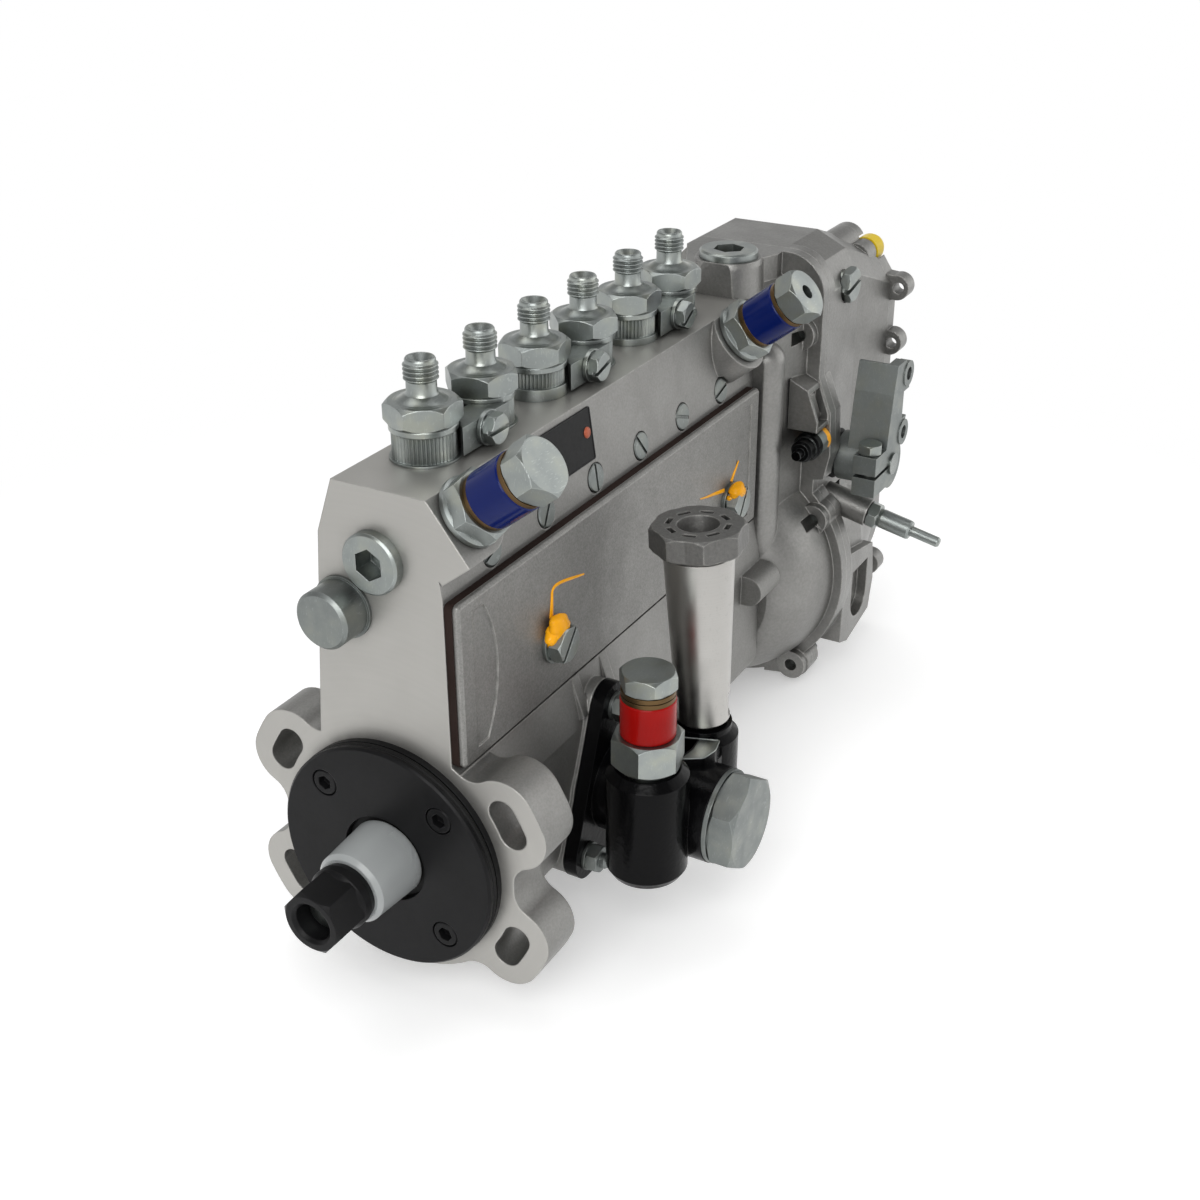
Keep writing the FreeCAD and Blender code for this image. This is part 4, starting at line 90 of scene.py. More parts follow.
# The dark plate on the slanted band, and its rivets
BAND_TOP = Vector((0, -20.8, 139.5))*MM
BAND_FOOT = Vector((0, -25.6, 105.5))*MM
PLATE_MIDDLE_Z = 127.3*MM
PLATE_CORNER = 1.0*MM
PLATE_SINK = 0.2*MM
RIVET_RADIUS = 2.1*MM
RIVET_INSET = 3.6*MM
RIVET_RISE = 1.0*MM

# The silver plate on the feed pump, the pad under it and the inlay on it; corners in mm, clockwise
PAD_TOP = 11.8*MM
PAD_DEPTH = 12.8*MM
PAD_CORNERS = ((83.0, -69.5), (94.0, -62.8), (97.8, -64.0), (102.6, -77.6), (95.3, -79.3),
               (88.1, -77.8))
INLAY_CORNERS = ((84.5, -68.6), (94.0, -63.8), (97.0, -64.8), (99.0, -70.6), (92.0, -71.4),
                 (85.2, -70.6))
INLAY_THICKNESS = 0.2*MM
LAYER_CORNER = 0.9*MM

# Sealing paint on the access cover, in mm. A blob has its place (along the pump, out of the cover and
# up), its half sizes and a seed; a run has its places (along and up) and its half widths.
COVER_FACE_Y = -31.0*MM
PAINT_BLOBS = (
    ((57.3, 3.4, 71.5), (5.4, 3.0, 5.2), 0.4),
    ((54.4, 2.2, 68.0), (3.0, 2.6, 4.4), 1.7),
    ((203.6, 4.2, 67.6), (5.0, 3.4, 3.4), 2.6),
    ((201.4, 2.4, 64.4), (2.6, 2.4, 3.4), 3.3),
)
PAINT_RUNS = (
    (((57.5, 74), (58.3, 80.7), (58.5, 85.3), (64.7, 85.1), (75.9, 82.2), (80.9, 81.0)),
     (1.3, 0.9, 0.8, 0.7, 0.6, 0.4)),
    (((199.0, 68.6), (190.4, 70.6), (182.0, 72.0), (176.1, 73.6)), (1.0, 0.8, 0.5, 0.3)),
    (((206.0, 70.0), (210.0, 74.5), (213.0, 77.0)), (1.2, 0.9, 0.5)),
)

# How far the sealed adjuster's bright body reaches back from its front
SEAL_BODY = 14.4*MM

# The photograph's camera
CAMERA_PLACE = Vector((-379.7, -299.2, 348.0))*MM
CAMERA_AZIMUTH = math.radians(-60.41)
CAMERA_ELEVATION = math.radians(27.52)
CAMERA_ROLL = math.radians(-0.31)
CAMERA_LENS = 49.23
CAMERA_SENSOR = 36.0


def length_property(name, description, default):
    return FloatProperty(name=name, description=description, default=default, unit="LENGTH",
                         subtype="DISTANCE")


def colour_property(name, description, default):
    return FloatVectorProperty(name=name, description=description, default=(*default, 1.0), size=4,
                               subtype="COLOR")


class HolderSizes(bpy.types.PropertyGroup):
    """Sizes of the delivery valve holders"""
    thread_radius: length_property("Thread radius", "Outer radius of the pipe thread", 5.9*MM)
    thread_depth: length_property("Thread depth", "From crest to root", 0.75*MM)
    thread_pitch: length_property("Thread pitch", "From crest to crest", 1.5*MM)
    across_flats: length_property("Across flats", "Spanner size of the hexagon", 23.0*MM)
    knurl_radius: length_property("Serration radius", "Outer radius of the serrated body", 11.0*MM)
    knurl_depth: length_property("Serration depth", "Depth of each serration", 0.7*MM)
    knurl_teeth: IntProperty(name="Serrations", description="Serrations round the body", default=48, min=12)


class PlateSizes(bpy.types.PropertyGroup):
    """Sizes of the bare plates"""
    length: length_property("Plate length", "Length of the dark plate on the slanted band", 44.0*MM)
    height: length_property("Plate height", "Height of the dark plate along the band", 20.0*MM)
    right_edge: length_property("Right edge", "Where the dark plate ends along the pump", 102.0*MM)
    thickness: length_property("Thickness", "Thickness of the plates", 0.5*MM)


class FinishColours(bpy.types.PropertyGroup):
    """Colours of the finishes"""
    casting: colour_property("Casting", "Sand-cast aluminium", (0.27, 0.267, 0.256))
    machined: colour_property("Machined face", "Milled aluminium", (0.42, 0.412, 0.39))
    zinc: colour_property("Zinc plating", "Plated steel", (0.345, 0.37, 0.36))
    oxide: colour_property("Black oxide", "Blackened steel", (0.0075, 0.0075, 0.008))
    enamel: colour_property("Black enamel", "Paint on the feed pump", (0.002, 0.002, 0.0023))
    blue: colour_property("Blue sleeve", "Transport sleeves on the gallery", (0.003, 0.010, 0.090))
    red: colour_property("Red sleeve", "Transport sleeve on the feed pump", (0.30, 0.004, 0.003))
    yellow: colour_property("Sealing paint", "Yellow paint on the sealed screws", (0.92, 0.40, 0.005))


class StudioSettings(bpy.types.PropertyGroup):
    """Light and floor"""
    floor_gap: length_property("Floor gap", "Between the lowest point and the floor", 0.3*MM)
    floor_lift: FloatProperty(name="Floor lift", default=0.28,
                              description="Whiteness added where the floor is seen, not cast")
    key_power: FloatProperty(name="Key light", description="Power of the large front light",
                             default=7.0, unit="POWER")
    top_power: FloatProperty(name="Top light", description="Power of the light overhead",
                             default=3.0, unit="POWER")
    rim_power: FloatProperty(name="Rim light", description="Power of the light from the far side",
                             default=2.5, unit="POWER")
    ambient: FloatProperty(name="Ambient", description="Strength of the light from all round", default=0.55)


def add(tree, kind, inputs=None, **settings):
    """Adds a node. inputs maps a socket's name or number to a value or to another node's output."""
    made = tree.nodes.new(kind)
    for name, value in settings.items():
        setattr(made, name, value)
    for key, value in (inputs or {}).items():
        if isinstance(value, bpy.types.NodeSocket):
            tree.links.new(value, made.inputs[key])
        else:
            made.inputs[key].default_value = value
    return made


def math_node(tree, operation, first, second=0.0, third=0.0):
    made = add(tree, "ShaderNodeMath", {0: first, 1: second, 2: third}, operation=operation)
    return made.outputs[0]


def mixed(tree, share, first, second, blend="MIX"):
    """Mixes two colours by a share from 0 to 1."""
    made = add(tree, "ShaderNodeMix", {0: share, 6: first, 7: second}, data_type="RGBA", blend_type=blend)
    return made.outputs[2]


def ranged(tree, value, low, high, to_low=0.0, to_high=1.0):
    """Maps value from low..high to to_low..to_high, clamped."""
    made = add(tree, "ShaderNodeMapRange", {0: value, 1: low, 2: high, 3: to_low, 4: to_high})
    made.clamp = True
    return made.outputs[0]


def noise(tree, place, scale, detail, **more):
    """Adds noise over place, a vector."""
    return add(tree, "ShaderNodeTexNoise", {"Vector": place, "Scale": scale, "Detail": detail, **more})


def new_group(name, inputs, outputs):
    """A shader node group with named sockets; returns the tree, its input node and its output node."""
    tree = bpy.data.node_groups.new(name, "ShaderNodeTree")
    for label, kind, value in inputs:
        socket = tree.interface.new_socket(label, in_out="INPUT", socket_type=kind)
        if value is not None:
            socket.default_value = value
    for label, kind in outputs:
        tree.interface.new_socket(label, in_out="OUTPUT", socket_type=kind)
    return tree, tree.nodes.new("NodeGroupInput"), tree.nodes.new("NodeGroupOutput")


def edge_wear_and_highlight_group():
    """Rounds sharp edges in the shading and masks them, broken up, for bare metal and light catches."""
    tree, start, end = new_group(
        "Edge highlight and rubbed bare metal",
        [("Vector", "NodeSocketVector", None), ("Radius", "NodeSocketFloat", 0.0006),
         ("Amount", "NodeSocketFloat", 0.5)],
        [("Mask", "NodeSocketFloat"), ("Normal", "NodeSocketVector")])
    rounded = add(tree, "ShaderNodeBevel", {"Radius": start.outputs["Radius"]}, samples=6)
    flat = add(tree, "ShaderNodeNewGeometry")
    facing = add(tree, "ShaderNodeVectorMath", {0: rounded.outputs[0], 1: flat.outputs["Normal"]},
                 operation="DOT_PRODUCT")
    edge = ranged(tree, facing.outputs["Value"], 0.995, 0.90)
    patches = noise(tree, start.outputs["Vector"], 260.0, 3.0)
    broken = ranged(tree, patches.outputs[0], 0.38, 0.62, 0.25, 1.0)
    mask = math_node(tree, "MULTIPLY", math_node(tree, "MULTIPLY", edge, broken), start.outputs["Amount"])
    tree.links.new(mask, end.inputs["Mask"])
    tree.links.new(rounded.outputs[0], end.inputs["Normal"])
    return tree


def corner_shade_group():
    """Painted shade where two faces meet in a corner: ambient occlusion makes the mask, which is 1 in the
    tightest places.
    """
    tree, start, end = new_group(
        "Painted corner shade",
        [("Vector", "NodeSocketVector", None), ("Reach", "NodeSocketFloat", 0.006),
         ("Amount", "NodeSocketFloat", 0.5)],
        [("Mask", "NodeSocketFloat")])
    # Painted shade: ambient occlusion darkens corners and recesses
    open_sky = add(tree, "ShaderNodeAmbientOcclusion", {"Distance": start.outputs["Reach"]}, samples=5)
    corner = ranged(tree, open_sky.outputs["AO"], 0.85, 0.30)
    cloud = noise(tree, start.outputs["Vector"], 140.0, 4.0)
    uneven = ranged(tree, cloud.outputs[0], 0.30, 0.65, 0.35, 1.0)
    mask = math_node(tree, "MULTIPLY", math_node(tree, "MULTIPLY", corner, uneven), start.outputs["Amount"])
    tree.links.new(mask, end.inputs["Mask"])
    return tree


def cast_skin_group():
    """The skin of a sand or die casting: fine grains, pits and slow waves."""
    tree, start, end = new_group(
        "Cast skin",
        [("Vector", "NodeSocketVector", None), ("Grain", "NodeSocketFloat", 1400.0)],
        [("Height", "NodeSocketFloat"), ("Grains", "NodeSocketFloat"), ("Clouds", "NodeSocketFloat"),
         ("Sparkle", "NodeSocketFloat")])
    grains = noise(tree, start.outputs["Vector"], start.outputs["Grain"], 3.0, Roughness=0.65)
    wave_scale = math_node(tree, "MULTIPLY", start.outputs["Grain"], 0.07)
    waves = noise(tree, start.outputs["Vector"], wave_scale, 2.0)
    pits = add(tree, "ShaderNodeTexVoronoi", {"Vector": start.outputs["Vector"],
                                              "Scale": start.outputs["Grain"]})
    height = math_node(tree, "MULTIPLY_ADD", waves.outputs[0], 0.8, grains.outputs[0])
    tree.links.new(height, end.inputs["Height"])
    tree.links.new(ranged(tree, grains.outputs[0], 0.35, 0.65), end.inputs["Grains"])
    tree.links.new(ranged(tree, waves.outputs[0], 0.32, 0.68), end.inputs["Clouds"])
    tree.links.new(ranged(tree, pits.outputs["Distance"], 0.16, 0.04), end.inputs["Sparkle"])
    return tree


def tool_marks_group():
    """Rings left by a turning tool or a face mill, round an axis along X through Centre."""
    tree, start, end = new_group(
        "Tool marks",
        [("Vector", "NodeSocketVector", None), ("Centre", "NodeSocketVector", (0, 0, 0)),
         ("Rings", "NodeSocketFloat", 900.0)],
        [("Height", "NodeSocketFloat")])
    moved = add(tree, "ShaderNodeVectorMath", {0: start.outputs["Vector"], 1: start.outputs["Centre"]},
                operation="SUBTRACT")
    flat = add(tree, "ShaderNodeVectorMath", {0: moved.outputs[0], 1: (0, 1, 1)}, operation="MULTIPLY")
    radius = add(tree, "ShaderNodeVectorMath", {0: flat.outputs[0]}, operation="LENGTH")
    rings = add(tree, "ShaderNodeTexNoise", {"W": math_node(tree, "MULTIPLY", radius.outputs["Value"],
                                                            start.outputs["Rings"]),
                                             "Scale": 1.0, "Detail": 3.0}, noise_dimensions="1D")
    tree.links.new(rings.outputs[0], end.inputs["Height"])
    return tree


def plating_group():
    """The cloudy film of zinc plating: slow tints from straw to blue, and fine handling scratches."""
    tree, start, end = new_group(
        "Plating film",
        [("Vector", "NodeSocketVector", None)],
        [("Tint", "NodeSocketColor"), ("Cloud", "NodeSocketFloat"), ("Scratch", "NodeSocketFloat")])
    slow = noise(tree, start.outputs["Vector"], 120.0, 3.0)
    tints = add(tree, "ShaderNodeValToRGB", {0: slow.outputs[0]})
    tints.color_ramp.elements[0].position = 0.32
    tints.color_ramp.elements[0].color = (0.92, 0.96, 1.0, 1)
    tints.color_ramp.elements[1].position = 0.68
    tints.color_ramp.elements[1].color = (1.0, 0.97, 0.86, 1)
    stretched = add(tree, "ShaderNodeMapping", {"Vector": start.outputs["Vector"], "Scale": (1.0, 7.0, 1.6),
                                                "Rotation": (0.5, 0.3, 0.9)})
    lines = noise(tree, stretched.outputs[0], 420.0, 4.0, Distortion=0.6)
    tree.links.new(tints.outputs[0], end.inputs["Tint"])
    tree.links.new(slow.outputs[0], end.inputs["Cloud"])
    tree.links.new(ranged(tree, lines.outputs[0], 0.60, 0.68), end.inputs["Scratch"])
    return tree


GROUPS = {}


def shared_group(name):
    """Each node group is built once, at its first use."""
    makers = {"wear_and_highlight": edge_wear_and_highlight_group, "corner_shade": corner_shade_group, "skin": cast_skin_group,
              "marks": tool_marks_group, "plating": plating_group}
    if name not in GROUPS:
        GROUPS[name] = makers[name]()
    return GROUPS[name]


def use_group(tree, name, inputs):
    return add(tree, "ShaderNodeGroup", inputs, node_tree=shared_group(name))


def new_material(name):
    """An empty material with its Principled BSDF, its node tree and its object coordinates."""
    material = bpy.data.materials.new(name)
    material.use_nodes = True
    tree = material.node_tree
    shader = tree.nodes["Principled BSDF"]
    coordinates = add(tree, "ShaderNodeTexCoord").outputs["Object"]
    return material, tree, shader, coordinates


def shaded(colour, factor):
    return tuple(channel*factor for channel in colour[:3]) + (1.0,)


def finish_edges(tree, shader, coordinates, colour, bright, dark, roughness, height, bump, radius, wear_and_highlight,
                 corner_shade_amount):
    """Adds rubbed edges with painted highlights, painted shade in corners and bump to a finish and plugs
    all of it into its shader.
    """
    edges = use_group(tree, "wear_and_highlight", {"Vector": coordinates, "Radius": radius, "Amount": wear_and_highlight})
    corners = use_group(tree, "corner_shade", {"Vector": coordinates, "Amount": corner_shade_amount})
    # Edges lighter: partly rubbed bare metal, partly painted highlight
    worn_and_lit = mixed(tree, edges.outputs["Mask"], colour, bright)
    # Corners darker: painted shade from ambient occlusion
    corner_shaded = mixed(tree, corners.outputs["Mask"], worn_and_lit, dark)
    tree.links.new(corner_shaded, shader.inputs["Base Color"])
    corner_roughness = math_node(tree, "MULTIPLY_ADD", corners.outputs["Mask"], 0.12, roughness)
    tree.links.new(corner_roughness, shader.inputs["Roughness"])
    relief = add(tree, "ShaderNodeBump", {"Height": height, "Normal": edges.outputs["Normal"],
                                          "Strength": 1.0, "Distance": bump})
    tree.links.new(relief.outputs[0], shader.inputs["Normal"])


def casting_material(name, colour, machined, grain, bump, speckle, clouds, roughness, face_x=None,
                     top_z=None):
    """Cast aluminium, with milled faces where the casting is squared off at face_x and top_z."""
    material, tree, shader, coordinates = new_material(name)
    shader.inputs["Metallic"].default_value = 0.85
    skin = use_group(tree, "skin", {"Vector": coordinates, "Grain": grain})
    cast = mixed(tree, skin.outputs["Grains"], shaded(colour, 1.0 - speckle), shaded(colour, 1.0 + speckle))
    glint = math_node(tree, "MULTIPLY", skin.outputs["Sparkle"], 2.0*speckle)
    cast = mixed(tree, glint, cast, shaded(colour, 1.8))
    stain = math_node(tree, "MULTIPLY", skin.outputs["Clouds"], clouds)
    cast = mixed(tree, stain, cast, shaded(colour, 0.60))
    rough = math_node(tree, "MULTIPLY_ADD", skin.outputs["Clouds"], 0.08, roughness)
    marks = use_group(tree, "marks", {"Vector": coordinates, "Rings": 500.0})
    satin = mixed(tree, marks.outputs["Height"], shaded(machined, 0.98), shaded(machined, 1.03))
    mask = squared_faces(tree, coordinates, face_x, top_z)
    colour_now = mixed(tree, mask, cast, satin)
    rough_now = math_node(tree, "MULTIPLY_ADD", mask, -0.06, rough)
    rise = math_node(tree, "MULTIPLY", math_node(tree, "SUBTRACT", 1.0, mask), skin.outputs["Height"])
    faint = math_node(tree, "MULTIPLY", mask, math_node(tree, "MULTIPLY", marks.outputs["Height"], 0.03))
    height = math_node(tree, "ADD", rise, faint)
    finish_edges(tree, shader, coordinates, colour_now, shaded(machined, 1.25), shaded(colour, 0.22),
                 rough_now, height, bump, 0.9*MM, 0.55, 0.60)
    return material


def squared_faces(tree, coordinates, face_x, top_z):
    """1 on faces square to X that lie at or before face_x, and on faces square to Z from top_z up."""
    if face_x is None:
        return math_node(tree, "MULTIPLY", 0.0, 0.0)
    place = add(tree, "ShaderNodeSeparateXYZ", {0: coordinates})
    normal = add(tree, "ShaderNodeNewGeometry").outputs["True Normal"]
    facing = add(tree, "ShaderNodeSeparateXYZ", {0: normal})
    along = math_node(tree, "ABSOLUTE", facing.outputs["X"])
    front = math_node(tree, "MULTIPLY", math_node(tree, "GREATER_THAN", along, 0.97),
                      math_node(tree, "LESS_THAN", place.outputs["X"], face_x))
    top = math_node(tree, "MULTIPLY", math_node(tree, "GREATER_THAN", facing.outputs["Z"], 0.97),
                    math_node(tree, "GREATER_THAN", place.outputs["Z"], top_z))
    return math_node(tree, "MAXIMUM", front, top)


def plated_material(name, colour, roughness, film):
    """Zinc plated steel with a cloudy film, fine scratches and bright edges."""
    material, tree, shader, coordinates = new_material(name)
    shader.inputs["Metallic"].default_value = 1.0
    plating = use_group(tree, "plating", {"Vector": coordinates})
    tinted = mixed(tree, film, colour, plating.outputs["Tint"], "MULTIPLY")
    cloudy = mixed(tree, ranged(tree, plating.outputs["Cloud"], 0.3, 0.7), shaded(colour, 0.82), tinted)
    scratches = math_node(tree, "MULTIPLY", plating.outputs["Scratch"], 0.35)
    scratched = mixed(tree, scratches, cloudy, shaded(colour, 1.5))
    rough = ranged(tree, plating.outputs["Cloud"], 0.3, 0.7, roughness + 0.08, roughness - 0.05)
    height = math_node(tree, "SUBTRACT", plating.outputs["Cloud"],
                       math_node(tree, "MULTIPLY", plating.outputs["Scratch"], 0.2))
    finish_edges(tree, shader, coordinates, scratched, shaded(colour, 1.5), shaded(colour, 0.16),
                 rough, height, 0.02*MM, 0.35*MM, 0.6, 0.8)
    return material


def dark_material(name, colour, roughness, gloss, edge, bump):
    """Blackened steel or enamel: nearly black, a little uneven, with its edges lighter, partly rubbed bare
    and partly a painted highlight.
    """
    material, tree, shader, coordinates = new_material(name)
    shader.inputs["Metallic"].default_value = 0.0
    shader.inputs["Specular IOR Level"].default_value = gloss
    skin = use_group(tree, "skin", {"Vector": coordinates, "Grain": 500.0})
    uneven = mixed(tree, skin.outputs["Clouds"], shaded(colour, 0.8), shaded(colour, 1.3))
    rough = ranged(tree, skin.outputs["Grains"], 0.0, 1.0, roughness + 0.06, roughness - 0.06)
    finish_edges(tree, shader, coordinates, uneven, edge, shaded(colour, 0.5), rough,
                 skin.outputs["Height"], bump, 0.5*MM, 0.5, 0.4)
    return material


def plastic_material(name, colour, roughness, gloss, clear=0.0):
    """Moulded plastic; clear is how far light passes through it, as in the milky shaft sleeve."""
    material, tree, shader, coordinates = new_material(name)
    drawn = add(tree, "ShaderNodeMapping", {"Vector": coordinates, "Scale": (0.25, 1.0, 1.0)}).outputs[0]
    skin = use_group(tree, "skin", {"Vector": drawn, "Grain": 900.0})
    uneven = mixed(tree, skin.outputs["Clouds"], shaded(colour, 0.90), shaded(colour, 1.08))
    rough = ranged(tree, skin.outputs["Clouds"], 0.0, 1.0, roughness + 0.04, roughness - 0.04)
    shader.inputs["Specular IOR Level"].default_value = gloss
    shader.inputs["Transmission Weight"].default_value = clear
    shader.inputs["Subsurface Weight"].default_value = 0.25 if clear > 0 else 0.0
    shader.inputs["Subsurface Radius"].default_value = (0.004, 0.004, 0.004)
    finish_edges(tree, shader, coordinates, uneven, shaded(colour, 1.4), shaded(colour, 0.45), rough,
                 skin.outputs["Clouds"], 0.01*MM, 0.4*MM, 0.35, 0.35)
    return material


def sealed_material(name, colours):
    """The sealed adjuster: a zinc body, a blackened end and yellow sealing paint over its seat."""
    material, tree, shader, coordinates = new_material(name)
    low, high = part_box("sealed_adjuster")
    middle = (low + high)/2
    place = add(tree, "ShaderNodeSeparateXYZ", {0: coordinates})
    wander = noise(tree, coordinates, 260.0, 2.0).outputs[0]
    along = math_node(tree, "MULTIPLY_ADD", wander, 3.0*MM, place.outputs["X"])
    up = math_node(tree, "MULTIPLY_ADD", wander, 5.0*MM, place.outputs["Z"])
    painted = math_node(tree, "MULTIPLY", math_node(tree, "GREATER_THAN", along, high.x - 7.0*MM),
                        math_node(tree, "GREATER_THAN", up, middle.z + 0.5*MM))
    blackened = math_node(tree, "LESS_THAN", place.outputs["X"], high.x - SEAL_BODY)
    plating = use_group(tree, "plating", {"Vector": coordinates})
    body = mixed(tree, plating.outputs["Cloud"], shaded(colours.zinc, 0.80), shaded(colours.zinc, 1.05))
    body = mixed(tree, blackened, body, tuple(colours.oxide))
    body = mixed(tree, painted, body, tuple(colours.yellow))
    tree.links.new(math_node(tree, "SUBTRACT", 1.0, painted), shader.inputs["Metallic"])
    rough = ranged(tree, plating.outputs["Cloud"], 0.3, 0.7, 0.42, 0.30)
    finish_edges(tree, shader, coordinates, body, shaded(colours.zinc, 1.4), shaded(colours.zinc, 0.15),
                 rough, plating.outputs["Cloud"], 0.02*MM, 0.35*MM, 0.3, 0.6)
    return material


def turned_material(name, colour, rings, roughness):
    """Turned aluminium with fine rings across a nearly upright axis and a few rub marks."""
    material, tree, shader, coordinates = new_material(name)
    shader.inputs["Metallic"].default_value = 1.0
    height = add(tree, "ShaderNodeSeparateXYZ", {0: coordinates}).outputs["Z"]
    lines = add(tree, "ShaderNodeTexNoise", {"W": math_node(tree, "MULTIPLY", height, rings), "Scale": 1.0,
                                             "Detail": 3.0}, noise_dimensions="1D").outputs[0]
    plating = use_group(tree, "plating", {"Vector": coordinates})
    uneven = mixed(tree, lines, shaded(colour, 0.94), shaded(colour, 1.05))
    rubs = math_node(tree, "MULTIPLY", plating.outputs["Scratch"], 0.25)
    rubbed = mixed(tree, rubs, uneven, shaded(colour, 0.7))
    rough = ranged(tree, plating.outputs["Cloud"], 0.3, 0.7, roughness + 0.05, roughness - 0.05)
    finish_edges(tree, shader, coordinates, rubbed, shaded(colour, 1.3), shaded(colour, 0.25), rough,
                 lines, 0.01*MM, 0.5*MM, 0.5, 0.6)
    return material


MATERIALS = {}


def finish(name):
    """Each material is made once, at its first use."""
    if name not in MATERIALS:
        MATERIALS[name] = MATERIAL_MAKERS[name](bpy.context.scene.pump_colours)
    return MATERIALS[name]


MATERIAL_MAKERS = {
    "pump_casting": lambda c: casting_material("Pump casting", c.casting, c.machined, 1100.0, 0.06*MM, 0.08,
                                               0.10, 0.46, 2*MM, 138*MM),
    "governor_casting": lambda c: casting_material("Governor casting", shaded(c.casting, 0.95), c.machined,
                                                   700.0, 0.12*MM, 0.08, 0.28, 0.35),
    "cover_casting": lambda c: casting_material("Cover casting", shaded(c.casting, 0.95), c.machined,
                                                1500.0, 0.09*MM, 0.16, 0.06, 0.50),
    "knob_casting": lambda c: casting_material("Knob casting", shaded(c.casting, 0.62), c.machined, 700.0,
                                               0.16*MM, 0.10, 0.15, 0.48),
    "zinc": lambda c: plated_material("Zinc plating", c.zinc, 0.34, 0.8),
    "dull_zinc": lambda c: plated_material("Dull zinc plating", shaded(c.zinc, 0.74), 0.44, 0.5),
    "bare_steel": lambda c: plated_material("Bare steel", shaded(c.zinc, 0.75), 0.28, 0.25),
    "washer": lambda c: plated_material("Sealing washer", (0.150, 0.095, 0.045, 1.0), 0.42, 0.6),
    "black_oxide": lambda c: dark_material("Black oxide", c.oxide, 0.38, 0.13, shaded(c.oxide, 3.0),
                                           0.005*MM),
    "black_enamel": lambda c: dark_material("Black enamel", c.enamel, 0.20, 0.10, shaded(c.enamel, 5.0),
                                            0.12*MM),
    "rubber": lambda c: dark_material("Black rubber", (0.010, 0.010, 0.010, 1.0), 0.50, 0.15,
                                      (0.03, 0.03, 0.03, 1.0), 0.05*MM),
    "gasket": lambda c: dark_material("Gasket", (0.020, 0.012, 0.010, 1.0), 0.70, 0.10,
                                      (0.05, 0.035, 0.03, 1.0), 0.10*MM),
    "milky_plastic": lambda c: plastic_material("Milky plastic", (0.44, 0.46, 0.46, 1.0), 0.24, 0.5, 0.25),
    "blue_plastic": lambda c: plastic_material("Blue plastic", c.blue, 0.14, 0.16),
    "red_plastic": lambda c: plastic_material("Red plastic", c.red, 0.18, 0.12),
    "yellow_plastic": lambda c: plastic_material("Yellow plastic", (0.66, 0.48, 0.02, 1.0), 0.30, 0.15),
    "yellow_paint": lambda c: plastic_material("Yellow paint", c.yellow, 0.24, 0.25),
    "sealed_adjuster": lambda c: sealed_material("Sealed adjuster", c),
    "orange_paint": lambda c: plastic_material("Orange paint", (0.42, 0.10, 0.05, 1.0), 0.30, 0.25),
    "turned_aluminium": lambda c: turned_material("Turned aluminium", (0.46, 0.45, 0.43, 1.0), 2600.0,
                                                  0.34),
}

NODE_FINISHES = {
    "pump_casting": ["pump_housing"],
    "governor_casting": ["governor_housing", "governor_cover", "governor_end_plate"],
    "cover_casting": ["side_cover"],
    "knob_casting": ["primer_knob"],
    "zinc": ["union_bodies", "hollow_screws", "socket_plugs", "clamp_screws", "side_cover_screws",
             "stop_screw", "side_plug", "lever_clamp_screw"] + HOLDERS,
    "dull_zinc": ["feed_pump_plugs", "rack_end_cap", "barrel_screws", "clamp_jaws", "control_lever",
                  "governor_bolts", "feed_pump_nuts"],
    "sealed_adjuster": ["sealed_adjuster"],
    "bare_steel": ["camshaft", "bearing_cups", "bearing_cones", "cam_followers", "plunger_springs",
                   "barrels_and_valves", "control_rack", "lever_shaft", "flyweight_carrier", "flyweight_1",
                   "flyweight_2", "governor_sleeve", "governor_lever", "primer_piston"]
                  + ["control_sleeve_%d" % number for number in range(1, 7)],
    "washer": ["sealing_washers"],
    "black_oxide": ["bearing_cover", "bearing_cover_screws", "shaft_nut"],
    "black_enamel": ["feed_pump_body"],
    "rubber": ["rubber_seals"],
    "gasket": ["side_cover_gasket"],
    "milky_plastic": ["shaft_sleeve"],
    "blue_plastic": ["gallery_cap_sleeves"],
    "red_plastic": ["inlet_cap_sleeve"],
    "yellow_plastic": ["adjuster_cap"],
    "turned_aluminium": ["primer_barrel"],
}


def dress(*names):
    """Puts each of the named finishes on the slots of its nodes."""
    for name in names:
        for node in NODE_FINISHES[name]:
            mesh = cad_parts[node].data
            if not mesh.materials:
                mesh.materials.append(None)
            for index in range(len(mesh.materials)):
                mesh.materials[index] = finish(name)


def deselect():
    if bpy.context.object and bpy.context.object.mode != "OBJECT":
        bpy.ops.object.mode_set(mode="OBJECT")
    bpy.ops.object.select_all(action="DESELECT")


def choose(piece):
    """Selects one piece alone and makes it the active one."""
    deselect()
    piece.select_set(True)
    bpy.context.view_layer.objects.active = piece


def start_editing():
    bpy.ops.object.mode_set(mode="EDIT")
    bpy.ops.mesh.select_mode(type="VERT")
    bpy.ops.mesh.select_all(action="SELECT")


def stop_editing():
    bpy.ops.object.mode_set(mode="OBJECT")


def close_up():
    """Merges doubles and turns all faces outwards, in edit mode."""
    bpy.ops.mesh.select_all(action="SELECT")
    bpy.ops.mesh.remove_doubles(threshold=1e-6)
    bpy.ops.mesh.normals_make_consistent(inside=False)


